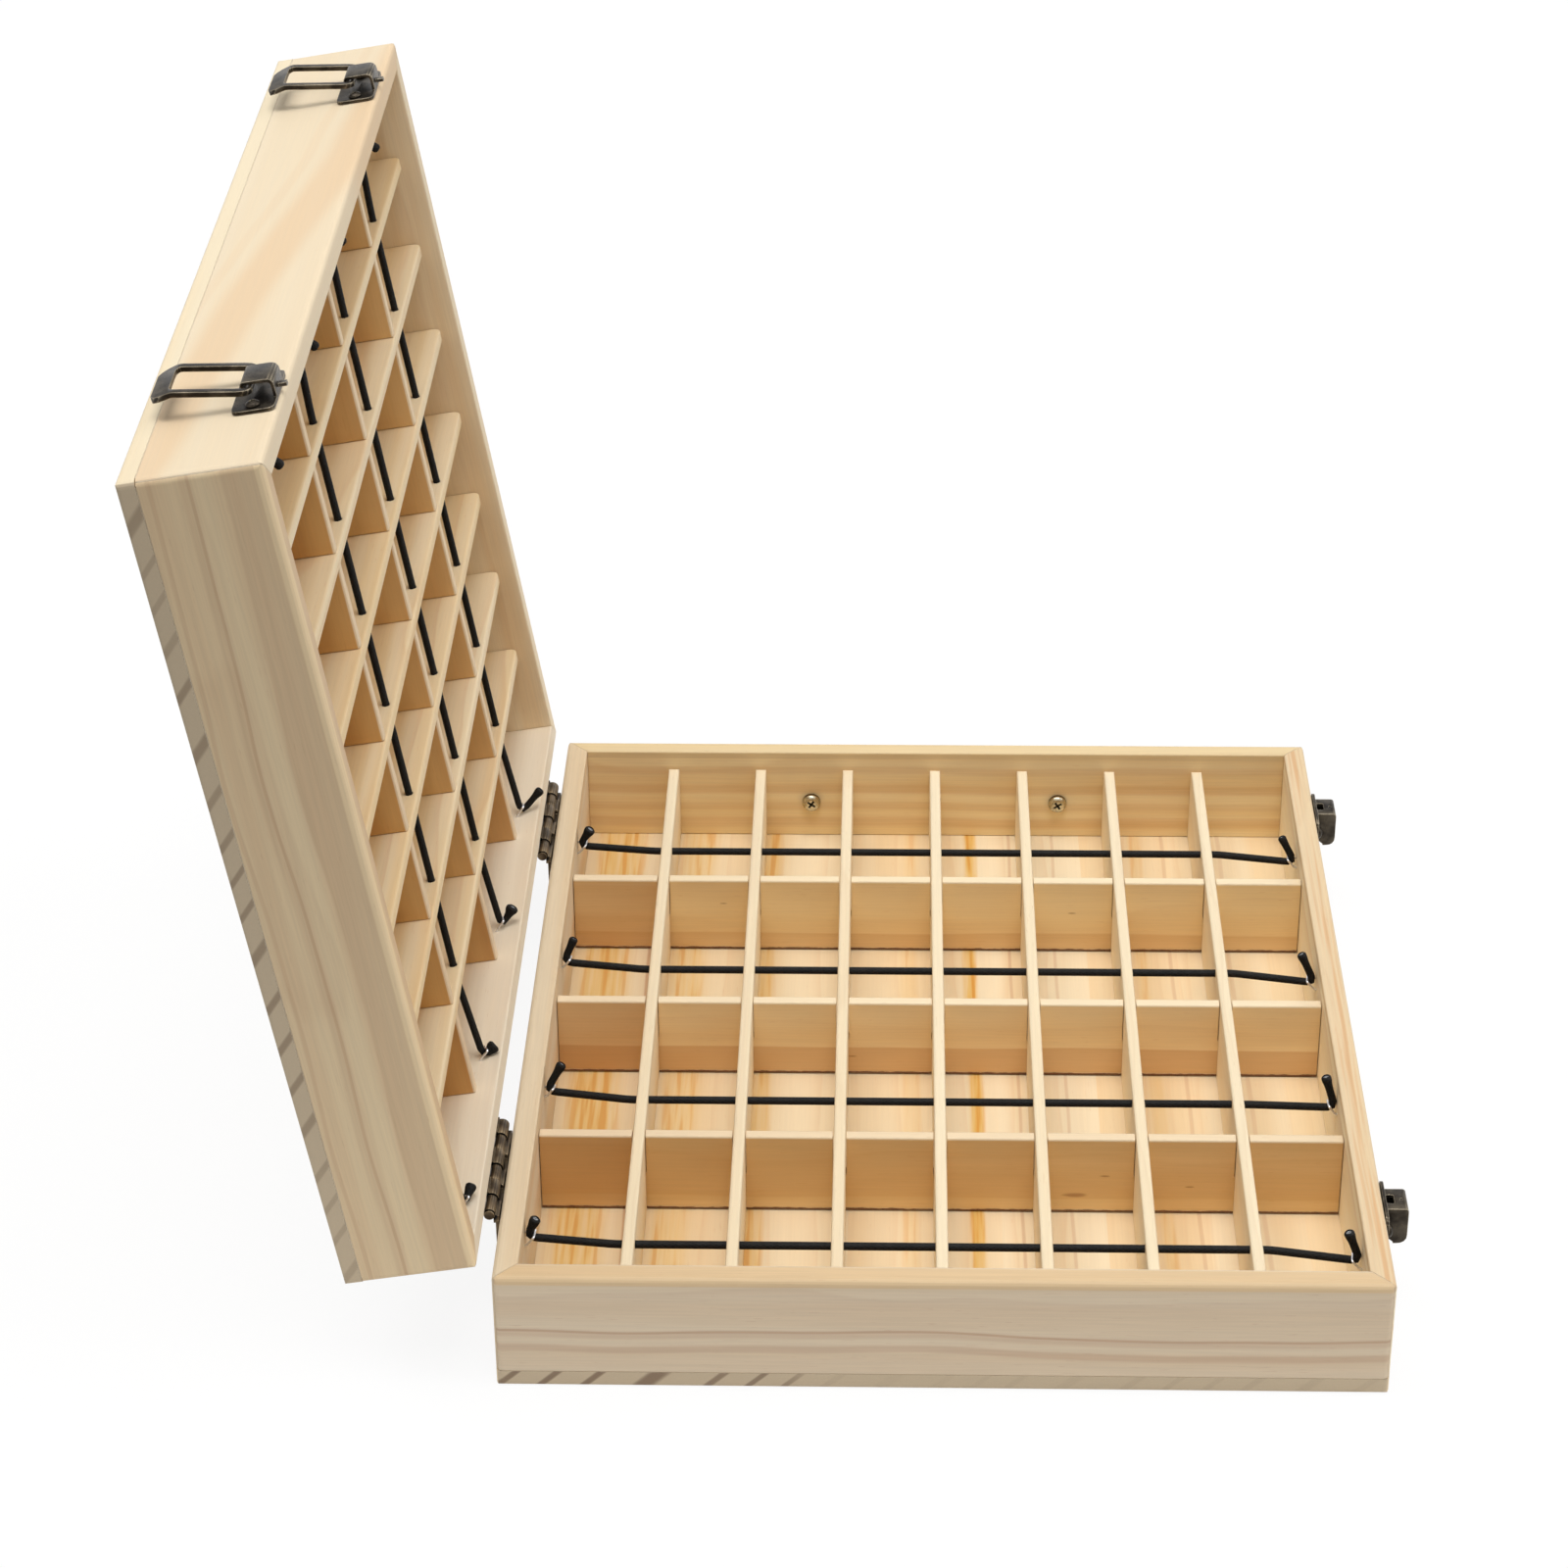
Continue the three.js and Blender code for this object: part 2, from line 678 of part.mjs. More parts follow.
// A turned post with a rosette at the wall and a round head that the bail hangs in
function handlePost() {
  const headTop = handleReach + postHeadRadius - seatGap;
  const headMiddle = handleReach - seatGap;
  const neckTop = Math.asin(postNeckRadius / postHeadRadius);
  const profile = [
    [0, 0], [rosetteRadius, 0], [rosetteRadius, rosetteThickness / 2],
    [rosetteRadius - rosetteThickness / 2, rosetteThickness],
    [postNeckRadius, 2 * rosetteThickness],
  ];
  for (let i = 0; i < headSteps; i += 1) {
    const angle = Math.PI - neckTop - (i / headSteps) * (Math.PI - neckTop);
    profile.push([postHeadRadius * Math.sin(angle), headMiddle + postHeadRadius * Math.cos(angle)]);
  }
  profile.push([0, headTop]);
  const bore = bar(screwRadius + screwClearance, 2 * postBoreDepth, 0, plainQuarter);
  const eye = bar(bailPinRadius + bailPinClearance, 3 * postHeadRadius, 0, plainQuarter)
    .rotateZ(Math.PI / 2)
    .translate(0, headMiddle, 0);
  return solid(turned(profile, plainQuarter)).subtract(solid(bore)).subtract(solid(eye));
}

// The bail about its own axis, hanging straight down
function handleBail() {
  const armX = postSpread + postHeadRadius + bailArmGap + bailRadius;
  const corners = [
    new THREE.Vector3(-armX, 0, 0), new THREE.Vector3(-armX, 0, -bailDrop),
    new THREE.Vector3(armX, 0, -bailDrop), new THREE.Vector3(armX, 0, 0),
  ];
  const hoop = roundedRoute(corners, [bailCorner, bailCorner], bendSteps);
  let body = solid(rod(hoop, bailRadius, bailQuarter));
  const pinEnd = postSpread - postHeadRadius + bailPinInset;
  [-1, 1].forEach((side) => {
    const pin = bar(bailPinRadius, armX - pinEnd, 0, bailQuarter)
      .rotateZ(Math.PI / 2)
      .translate(side * (armX + pinEnd) / 2, 0, 0);
    const knob = new THREE.SphereGeometry(bailRadius, 4 * bailQuarter, 2 * bailQuarter)
      .translate(side * armX, 0, 0);
    body = body.add(solid(pin)).add(solid(knob));
  });
  const half = gripLength / 2;
  const grip = turned([
    [0, -half - gripEase], [gripEndRadius, -half - gripEase], [gripRadius, -half],
    [gripRadius, half], [gripEndRadius, half + gripEase], [0, half + gripEase],
  ], plainQuarter).rotateZ(Math.PI / 2).translate(0, 0, -bailDrop);
  return body.add(solid(grip));
}

// A pan-head screw with a cross recess, pushed through the wall from inside into the post
function handleScrew() {
  const head = screwHeadHeight;
  const shankEnd = head + seatGap + wallThickness + postBoreDepth - screwClearance;
  const profile = [
    [0, 0], [screwHeadRadius - screwHeadRound, 0],
    [screwHeadRadius - screwHeadCrown, screwHeadCrown],
    [screwHeadRadius, screwHeadRound], [screwHeadRadius, head], [screwRadius, head],
    [screwRadius, shankEnd], [0, shankEnd],
  ];
  const slot = rectangle(
    -screwSlotLength / 2, screwSlotLength / 2, -screwSlotWidth / 2, screwSlotWidth / 2,
  );
  const cut = solid(alongZ(slot, -screwSlotDepth, 2 * screwSlotDepth)).rotate([90, 0, 0]);
  return solid(turned(profile, fineQuarter)).subtract(cut).subtract(cut.rotate([0, 90, 0]));
}

function base() {
  const group = tray('base', -1, baseHingeShares, baseLatchShares);
  places.forEach(([place, side]) => {
    const hinge = [hingeX, side * hingePlace + hingeShift, hingeZ];
    const catchPlace = [caseWidth / 2, side * latchPlace + latchShift, trayHeight];
    group.add(mesh(`hinge_${place}_base_leaf`, hingeLeaf(-1), hingeBronze, ...hinge));
    group.add(mesh(`hinge_${place}_pin`, hingePin(), hingeBronze, ...hinge));
    group.add(mesh(`latch_${place}_catch`, latchCatch(), bronze, ...catchPlace));
  });
  [['hinge', -1], ['latch', 1]].forEach(([place, side]) => {
    const x = side * postSpread;
    const footY = caseDepth / 2 + seatGap;
    const headY = innerDepth / 2 - seatGap - screwHeadHeight;
    group.add(mesh(`handle_post_${place}`, handlePost(), bronze, x, footY, handleHeight));
    group.add(mesh(`handle_screw_${place}`, handleScrew(), steel, x, headY, handleHeight));
  });
  group.add(mesh('handle_bail', handleBail(), bronze, 0, handleY, handleHeight));
  return group;
}

// The lid as it lies when closed, then turned open about the hinge axis
function lid() {
  const closed = new THREE.Group();
  const lidTray = tray('lid', 1, lidHingeShares, lidLatchShares);
  lidTray.rotation.x = Math.PI;
  lidTray.position.z = lidRim + trayHeight;
  closed.add(lidTray);
  places.forEach(([place, side]) => {
    const hinge = [hingeX, side * hingePlace + hingeShift, hingeZ];
    const latchY = side * latchPlace + latchShift;
    const platePlace = [caseWidth / 2, latchY, lidRim];
    const pivot = [caseWidth / 2 + ringPivotHeight, latchY, lidRim + ringPivotDepth];
    const ring = mesh(`latch_${place}_ring`, latchRing(), bronze, ...pivot);
    ring.rotation.y = THREE.MathUtils.degToRad(ringLean);
    closed.add(mesh(`hinge_${place}_lid_leaf`, hingeLeaf(1), hingeBronze, ...hinge));
    closed.add(mesh(`latch_${place}_plate`, latchPlate(), bronze, ...platePlace));
    closed.add(ring);
  });
  closed.position.set(-hingeX, 0, -hingeZ);
  const opened = new THREE.Group();
  opened.add(closed);
  opened.rotation.y = -THREE.MathUtils.degToRad(openAngle);
  opened.position.set(hingeX, 0, hingeZ);
  return opened;
}

const box = new THREE.Group();
box.add(base(), lid());
box.updateMatrixWorld(true);

export default box;
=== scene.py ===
import json
import math
import random
from dataclasses import dataclass, replace

import bmesh
import bpy
from mathutils import Euler, Matrix, Vector

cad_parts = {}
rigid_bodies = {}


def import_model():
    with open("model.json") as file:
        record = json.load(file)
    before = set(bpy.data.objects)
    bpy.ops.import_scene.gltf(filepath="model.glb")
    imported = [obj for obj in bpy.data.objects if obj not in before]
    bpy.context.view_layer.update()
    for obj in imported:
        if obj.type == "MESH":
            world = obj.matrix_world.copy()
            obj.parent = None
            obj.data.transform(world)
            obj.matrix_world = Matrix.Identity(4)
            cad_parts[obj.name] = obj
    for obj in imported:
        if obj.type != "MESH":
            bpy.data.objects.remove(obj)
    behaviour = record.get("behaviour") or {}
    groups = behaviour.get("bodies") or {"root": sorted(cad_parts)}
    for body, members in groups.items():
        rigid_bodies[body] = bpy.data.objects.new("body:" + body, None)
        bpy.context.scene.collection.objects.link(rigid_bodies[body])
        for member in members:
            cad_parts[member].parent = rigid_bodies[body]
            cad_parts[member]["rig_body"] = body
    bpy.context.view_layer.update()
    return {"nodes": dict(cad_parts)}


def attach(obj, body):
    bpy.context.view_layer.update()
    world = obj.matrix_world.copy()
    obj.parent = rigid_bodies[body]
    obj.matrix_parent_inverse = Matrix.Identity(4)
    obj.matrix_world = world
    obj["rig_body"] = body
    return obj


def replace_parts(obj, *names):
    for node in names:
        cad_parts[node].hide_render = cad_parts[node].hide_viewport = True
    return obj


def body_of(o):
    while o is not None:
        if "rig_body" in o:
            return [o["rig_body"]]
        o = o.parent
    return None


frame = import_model()
chance = random.Random(7)

MM = 0.001

# Sizes shared with the CAD model, in metres
CASE_WIDTH = 340 * MM
CASE_DEPTH = 406 * MM
TRAY_HEIGHT = 51 * MM
WALL_THICKNESS = 9.5 * MM
CORNER_RADIUS = 2.5 * MM
RIM_OUTER_RADIUS = 2.7 * MM
RIM_INNER_RADIUS = 0.8 * MM
PANEL_THICKNESS = 6.8 * MM
SEAT_GAP = 0.3 * MM
CLOSING_GAP = 0.4 * MM
OPEN_ANGLE = math.radians(99.5)
COLUMNS = 8
ROWS = 4
DIVIDER_THICKNESS = 4.8 * MM
CROSS_FOOT = 8.4 * MM
FOOT_STRIP = 1 * MM
CROSS_TOP = TRAY_HEIGHT - 8.2 * MM
INNER_WIDTH = CASE_WIDTH - 2 * WALL_THICKNESS
INNER_DEPTH = CASE_DEPTH - 2 * WALL_THICKNESS
COLUMN_PITCH = INNER_WIDTH / COLUMNS
ROW_PITCH = INNER_DEPTH / ROWS
LID_RIM = TRAY_HEIGHT + CLOSING_GAP
HINGE = Vector((-CASE_WIDTH / 2 - 4 * MM, 0, TRAY_HEIGHT + CLOSING_GAP / 2))

# The glue lines between the boards
SEAM_DEPTH = 0.07 * MM
SEAM_SPARE = 0.03 * MM

# The elastic cords
CORD_DIAMETER = 2.8 * MM
CORD_RADIUS = CORD_DIAMETER / 2
SHEATH_RADIUS = {"base": 1.6 * MM, "lid": 1.42 * MM}
CORD_HEIGHT = TRAY_HEIGHT - 11 * MM
CORD_FORWARD = 21.5 * MM
CORD_BEND = 3.8 * MM
CORD_PINCH = 1 * MM
CORD_KINK = 3 * MM
CORD_WALL_PLACE = INNER_WIDTH / 2 - SEAT_GAP - CORD_RADIUS
CORD_BEND_STEPS = 10
CORD_STEP = 2 * MM
CORD_SIDES = 16
TIP_STEP = 0.25 * MM
TIP_STEPS = 8
FLARE_LENGTH = 4.5 * MM
LIP_SHARE = 0.14
LIP_INSIDE = 0.84
SUNK_SIZE = 0.76
SUNK_END = 0.45 * MM
# Each cord end, far row first, in cord diameters: staple shift to the far side, staple depth,
# tip depth, tip lean off the wall and tip lean to the far side, and how far the cut end flares
BASE_HINGE_ENDS = (
    (0.8, 3.45, 0.3, 2.1, 0.0, 1.5),
    (1.3, 3.55, -0.2, 1.8, 0.9, 1.2),
    (1.4, 3.45, -0.6, 2.5, 1.1, 1.3),
    (0.85, 3.4, 0.3, 1.5, 0.1, 1.35),
)
BASE_LATCH_ENDS = (
    (-0.85, 4.75, 0.6, 2.4, 0.95, 1.15),
    (-1.3, 4.65, -0.3, 2.4, 0.4, 1.25),
    (0.4, 4.6, -0.5, 1.7, 0.5, 1.3),
    (-1.5, 4.5, -0.4, 2.0, 0.0, 1.3),
)
LID_HINGE_ENDS = (
    (-2.5, 2.75, -0.95, 3.1, 1.3, 1.4),
    (-1.4, 3.0, 0.7, 2.8, 0.85, 1.85),
    (-1.7, 2.6, 0.7, 1.2, 1.0, 1.85),
    (-3.2, 2.0, 0.7, 1.9, 2.4, 1.5),
)
LID_LATCH_ENDS = (
    (0.3, 3.5, 0.9, 3.0, 0.6, 1.3),
    (0.3, 3.7, 1.6, 3.0, 0.4, 1.3),
    (0.3, 3.5, 1.1, 3.3, 0.5, 1.3),
    (0.3, 3.5, 1.1, 3.6, 0.3, 1.3),
)
WIRE_RADIUS = 0.5 * MM
WIRE_SPARE = 0.3 * MM
WIRE_DEPTH = 1 * MM
WIRE_BEND = 0.9 * MM
WIRE_BEND_STEPS = 6
WIRE_SIDES = 10
WIRE_TOE_OUT = 1.1 * MM
WIRE_TOE_DROP = 3.2 * MM
WIRE_TOE_GAP = 1.3 * MM

# The fittings
HINGE_EDGE = 0.4 * MM
LATCH_EDGE = 0.3 * MM
EASED_ANGLE = math.radians(50)
SHARP_ANGLE = math.radians(40)
HINGE_PLACE = 132 * MM
HINGE_SHIFT = -1.4 * MM
HINGE_LENGTH = 60 * MM
KNUCKLE_PITCH = HINGE_LENGTH / 6
LATCH_PLACE = 148 * MM
LATCH_SHIFT = 1.2 * MM
LEAF_FACE = CASE_WIDTH / 2 + SEAT_GAP + 1.4 * MM
LEAF_SCREW_DROP = 11.4 * MM
LEAF_SCREW_SPACING = 21 * MM
LATCH_FACE = CASE_WIDTH / 2 + SEAT_GAP + 1.2 * MM
PLATE_SCREW_SPREAD = 11.5 * MM
PLATE_SCREW_DEPTH = 9 * MM
CATCH_SCREW_SPREAD = 10.8 * MM
CATCH_SCREW_DEPTH = 8 * MM
POST_SPREAD = 57 * MM
HANDLE_HEIGHT = 25 * MM
PAN_RADIUS = 4.2 * MM
PAN_HEIGHT = 3 * MM
HEAD_SINK = 0.5 * MM
CUTTER_SPARE = 0.2 * MM
LEAF_SCREW_RADIUS = 2.9 * MM
LEAF_SCREW_RISE = 0.7 * MM
LATCH_SCREW_RADIUS = 2.6 * MM
LATCH_SCREW_RISE = 1.9 * MM

# The camera, which was fitted to the photograph, and the light
CAMERA_PLACE = (-0.022456, -1.392468, 0.966893)
CAMERA_TURNS = (0.02979, math.radians(50) + 0.16669, -0.00931)
CAMERA_LENS = 91.175
CAMERA_SENSOR = 36
WHITE = (1, 1, 1, 1)
AMBIENT = 0.25
FLOOR_BOUNCE = 0.85
ROOM_BOUNCE = 0.3
FLOOR_GLOW = 0.9
TABLE_NEAR = 0.4
TABLE_FAR = 0.9
TABLE_HALF = 8
TABLE_DROP = 0.2 * MM
# Each sun's name, azimuth, elevation, strength and size, with its angles in degrees
SUNS = (
    ("sun_front", -84, 77, 1.4, 30),
    ("sun_left", 175, 67, 0.66, 25),
    ("sun_back", 70, 66, 0.15, 45),
    ("sun_right", 0, 35, 0.88, 40),
)

# A point of a tray, drawn floor down, at its place in the scene
LID_OPEN = (
    Matrix.Translation(HINGE) @ Matrix.Rotation(-OPEN_ANGLE, 4, "Y") @ Matrix.Translation(-HINGE)
)
LID_TURN = Matrix.Translation((0, 0, LID_RIM + TRAY_HEIGHT)) @ Matrix.Rotation(math.pi, 4, "X")
TRAYS = {"base": Matrix.Identity(4), "lid": LID_OPEN @ LID_TURN}

# A point of a body, drawn with the case closed, at its place in the scene
SWINGS = {"base": Matrix.Identity(4), "lid": LID_OPEN}


def srgb(red, green, blue):
    """A linear colour from the 0 to 255 values that a picture shows."""
    return (*[(value / 255) ** 2.2 for value in (red, green, blue)], 1)


def put(target, **settings):
    """The target itself, with its settings made."""
    for name, value in settings.items():
        setattr(target, name, value)
    return target


@dataclass(frozen=True)
class Value:
    """An output of a node. Arithmetic on it adds a Math node to its graph."""

    graph: object
    socket: object

    def __add__(self, other):
        return self.graph.math("ADD", self, other)

    def __sub__(self, other):
        return self.graph.math("SUBTRACT", self, other)

    def __mul__(self, other):
        return self.graph.math("MULTIPLY", self, other)

    def __truediv__(self, other):
        return self.graph.math("DIVIDE", self, other)

    def __pow__(self, other):
        return self.graph.math("POWER", self, other)

    def __abs__(self):
        return self.graph.math("ABSOLUTE", self)


class Graph:
    """The empty node tree of a world or a material."""

    def __init__(self, owner):
        owner.use_nodes = True
        self.tree = owner.node_tree
        self.tree.nodes.clear()

    def add(self, kind, inputs=(), **settings):
        """A new node with its settings, and its inputs fed in order."""
        node = put(self.tree.nodes.new(f"ShaderNode{kind}"), **settings)
        for socket, value in zip(node.inputs, inputs):
            self.feed(socket, value)
        return node

    def feed(self, socket, value):
        value = value.socket if isinstance(value, Value) else value
        if isinstance(value, bpy.types.NodeSocket):
            self.tree.links.new(value, socket)
        else:
            socket.default_value = value

    def value(self, node, output=0):
        return Value(self, node.outputs[output])

    def math(self, operation, *values):
        return self.value(self.add("Math", values, operation=operation))

    def vector(self, operation, *values):
        return self.value(
            self.add("VectorMath", values, operation=operation),
            "Value" if operation in ("DOT_PRODUCT", "LENGTH") else "Vector",
        )

    def mix(self, factor, first, second, blend="MIX"):
        node = self.add("Mix", data_type="RGBA", blend_type=blend)
        for socket, value in ((0, factor), (6, first), (7, second)):
            self.feed(node.inputs[socket], value)
        return self.value(node, 2)

    def step(self, value, low, high, start=0.0, end=1.0):
        """start below low, end above high, and a smooth change between them."""
        given = (value, low, high, start, end)
        return self.value(self.add("MapRange", given, interpolation_type="SMOOTHSTEP"))

    def split(self, vector):
        node = self.add("SeparateXYZ", [vector])
        return [Value(self, output) for output in node.outputs]

    def join(self, x, y, z):
        return self.value(self.add("CombineXYZ", (x, y, z)))

    def grey(self, tone):
        return self.join(tone, tone, tone)

    def place(self, kind="Object"):
        return self.value(self.add("TexCoord"), kind)

    def millimetres(self):
        """The place on the object in millimetres."""
        scaled = self.vector("SCALE", self.place())
        scaled.socket.node.inputs["Scale"].default_value = 1 / MM
        return scaled

    def noise(self, vector, lengths, seed=0.0, detail=2.0, output=0):
        """Noise whose features are as long as given along each axis of the vector."""
        scaled = self.vector("MULTIPLY", vector, [1 / length for length in lengths])
        moved = self.vector("ADD", scaled, (seed, seed * 1.7, seed * 0.6))
        node = self.add("TexNoise", [moved])
        node.inputs["Scale"].default_value = 1
        node.inputs["Detail"].default_value = detail
        return self.value(node, output)

    def eased(self, radius):
        """The normal of edges rounded to the given radius, and how much of an edge is near."""
        bevel = self.add("Bevel", [radius], samples=4)
        flat = self.add("NewGeometry").outputs["True Normal"]
        facing = self.vector("DOT_PRODUCT", self.value(bevel), flat)
        return self.value(bevel), self.step(facing, 0.999, 0.93)


class Surface(Graph):
    """The graph of a new material, with its Principled shader."""

    def __init__(self, name):
        self.material = bpy.data.materials.new(name)
        super().__init__(self.material)
        self.shader = self.add("BsdfPrincipled")
        self.add("OutputMaterial", [self.value(self.shader)])

    def set(self, name, value):
        self.feed(self.shader.inputs[name], value)

    def shade(self, colour, roughness, metallic=0.0, specular=0.5):
        self.set("Base Color", colour)
        self.set("Roughness", roughness)
        self.set("Metallic", metallic)
        self.set("Specular IOR Level", specular)

    def bump(self, height, depth, strength, normal=None):
        node = self.add("Bump")
        given = {"Distance": depth, "Strength": strength, "Height": height, "Normal": normal}
        for name, value in given.items():
            if value is not None:
                self.feed(node.inputs[name], value)
        self.set("Normal", self.value(node))


# Wood


@dataclass(frozen=True)
class Wood:
    """How one board of pine looks. Lengths are millimetres in its own grain frame."""

    pale: tuple = srgb(238, 217, 183)
    warm: tuple = srgb(228, 192, 142)
    late: tuple = srgb(192, 138, 84)
    grain: float = 0.3
    ring: float = 6.0
    pith: tuple = (0.0, -60.0)
    sway: float = 7.0
    bands: float = 0.5
    band_width: float = 12.0
    fibre: float = 0.07
    lines: tuple = ()
    stripes: tuple = ()
    slant: float = 0.0
    wander: float = 5.0
    streaks: tuple = ()
    top_lines: tuple = ()
    lid_shadow: float = 0.0
    rim: tuple = None
    rim_from: float = 200.2
    crown: float = None
    dark_foot: bool = False
    ease: float = 0.5 * MM


def grain_frame(graph, tray, run):
    """Coordinates in millimetres along the grain, across the face and through the board."""
    back = TRAYS[tray].inverted()
    given = (graph.place(), back.translation / MM, back.to_euler(), (1 / MM,) * 3)
    x, y, z = graph.split(graph.value(graph.add("Mapping", given)))
    return {"x": (x, z, y), "y": (y, z, x), "panel": (y, x, z)}[run]


def ring_lines(graph, look, grain, seed):
    """Latewood: narrow lines that darken slowly and end at once, some rings weaker."""
    sway = graph.noise(graph.join(*grain), (130, 45, 45), seed, 1.5, "Color")
    shift = graph.split(graph.vector("SUBTRACT", sway, (0.5, 0.5, 0.5)))
    across = grain[1] + shift[0] * (2 * look.sway) - look.pith[0]
    through = grain[2] + shift[1] * (2 * look.sway) - look.pith[1]
    turns = graph.math("SQRT", across**2 + through**2) / look.ring
    turn = graph.math("FRACT", turns)
    ending = graph.step(turn, 0.9, 1.0, 1.0, 0.0)
    weight = graph.add("TexWhiteNoise", noise_dimensions="1D")
    graph.feed(weight.inputs["W"], graph.math("FLOOR", turns) + seed)
    return turn**3 * ending * graph.step(graph.value(weight), 0.0, 1.0, 0.15, 1.0)


def wandering(graph, along, across, width, seed):
    """The place across the board, swaying by up to the given width as it follows the grain."""
    return across + graph.noise(graph.join(along, 0.0, 0.0), (120, 1, 1), seed, 1) * width


def line_mask(graph, across, lines):
    """Long stripes at (place, half width, strength) across the board."""
    total = 0.0
    for place, width, strength in lines:
        line = graph.step(abs(across - place), 0.35 * width, width, strength, 0.0)
        total = graph.math("MAXIMUM", total, line)
    return total


def stripe_mask(graph, across, stripes):
    """Broad stripes with crisp edges at (low side, high side, strength) across the board."""
    total = 0.0
    for low, high, strength in stripes:
        above = graph.step(across, low - 1.2, low)
        below = graph.step(across, high, high + 1.2, strength, 0.0)
        total = graph.math("MAXIMUM", total, above * below)
    return total


def streak_mask(graph, look, grain, seed):
    """Short resin streaks and pin knots at (along, across, size), drawn out with the grain."""
    along, across, _ = grain
    ragged = graph.noise(graph.join(*grain), (6, 1.5, 1.5), seed, 2)
    total = 0.0
    for streak_along, streak_across, size in look.streaks:
        run, rise = (along - streak_along) / (4.5 * size), (across - streak_across) / size
        away = run**2 + rise**2 + ragged * 0.9
        total = graph.math("MAXIMUM", total, graph.step(away, 0.4, 1.5, 1.0, 0.0))
    return total


def on_rim(graph, grain):
    """1 on the rim of a tray and 0 below it."""
    return graph.step(grain[1], TRAY_HEIGHT / MM - 3.6, TRAY_HEIGHT / MM - 2.9)


def sanded(graph, look, colour, vector, seed):
    """Fine fibres, flecks and paler edges, partly rubbed wear and partly a painted highlight, with
    the roughness and bump of bare pine.
    """
    fibres = graph.noise(vector, (34, 0.8, 0.8), seed, 3)
    shade = graph.step(fibres, 0.25, 0.75, 1 - look.fibre, 1.0)
    colour = graph.mix(1.0, colour, graph.grey(shade), "MULTIPLY")
    flecks = graph.noise(vector, (6, 0.5, 0.5), seed + 5, 0)
    colour = graph.mix(graph.step(flecks, 0.76, 0.84, 0.0, 0.16), colour, look.late)
    normal, edge = graph.eased(look.ease)
    # Paler edges: partly rubbed wear, partly a painted highlight
    rubbed_and_lit = edge * graph.step(fibres, 0.3, 0.7, 0.1, 0.4)
    colour = graph.mix(rubbed_and_lit, colour, srgb(246, 230, 202))
    graph.shade(colour, graph.step(fibres, 0.2, 0.8, 0.5, 0.66), specular=0.3)
    graph.bump(fibres, 0.04 * MM, 0.5, normal)


def wood(name, tray, run, look, seed):
    """Bare sanded pine: broad bands, growth rings, wandering lines and resin streaks."""
    graph = Surface(name)
    grain = grain_frame(graph, tray, run)
    along, height, through = grain
    vector = graph.join(*grain)
    bands = graph.noise(vector, (520, look.band_width, look.band_width), seed, 1.5)
    colour = graph.mix(graph.step(bands, 0.36, 0.66, 0.0, look.bands), look.pale, look.warm)
    rings = ring_lines(graph, look, grain, seed)
    colour = graph.mix(rings * look.grain, colour, look.late)
    across = wandering(graph, along, height + along * look.slant, look.wander, seed)
    if look.stripes:
        colour = graph.mix(stripe_mask(graph, across, look.stripes), colour, look.late)
    if look.lines:
        colour = graph.mix(line_mask(graph, across, look.lines), colour, look.late)
    # Painted shadow: darker beside the first column, standing in for the shadow of the open lid
    if look.lid_shadow:
        reach = (COLUMN_PITCH - INNER_WIDTH / 2) / MM
        shadowed = graph.step(along, reach + 1, reach + 4, look.lid_shadow, 0.0)
        colour = graph.mix(shadowed, colour, look.late)
    if look.streaks:
        streaks = streak_mask(graph, look, grain, seed) * 0.55
        colour = graph.mix(streaks, colour, srgb(142, 84, 46))
    if look.rim:
        begin = look.rim_from
        out = graph.step(abs(through), begin - 0.5, begin + 0.5, 0.0, 0.7)
        colour = graph.mix(on_rim(graph, grain) * out, colour, look.rim)
    if look.top_lines:
        over = wandering(graph, along, through, 7, seed + 4)
        patchy = graph.noise(vector, (70, 2, 2), seed + 7, 1)
        marks = line_mask(graph, over, look.top_lines) * on_rim(graph, grain)
        marks = marks * graph.step(patchy, 0.4, 0.6, 0.1, 1.0)
        colour = graph.mix(marks, colour, look.late)
    # Painted highlight: the top of the board and a narrow band below it paler
    if look.crown:
        crown = graph.step(height, look.crown / MM - 1.1, look.crown / MM - 0.6)
        colour = graph.mix(crown * 0.6, colour, srgb(250, 236, 208))
    # A ragged dark red-brown line along the foot of the board
    if look.dark_foot:
        ragged = graph.noise(vector, (4, 4, 4), seed, 3)
        foot = (CROSS_FOOT - FOOT_STRIP) / MM
        foot_line = graph.step(height - ragged * 1.3, foot, foot + 0.4, 0.9, 0.0)
        colour = graph.mix(foot_line, colour, srgb(92, 42, 20))
    sanded(graph, look, colour, vector, seed)
    return graph.material


def end_grain(graph, across, through, strength, seed):
    """Slanted dark growth rings on the sawn ends of the strips, strong up to a place across."""
    slanted = across - through * 1.1
    drift = graph.noise(graph.join(slanted, 0.0, 0.0), (45, 1, 1), seed, 0) * 26
    rings = graph.math("SINE", (slanted + drift) / 18 * math.tau)
    patchy = graph.noise(graph.join(across, 0.0, 0.0), (60, 1, 1), seed + 3, 0)
    strong, reach = strength
    dark = graph.step(rings, 0.6, 0.95) * graph.step(patchy, 0.3, 0.6, 0.5)
    dark = dark * graph.step(across, reach - 15, reach + 15, strong, 0.12)
    return graph.mix(dark, srgb(207, 188, 159), srgb(132, 109, 88))


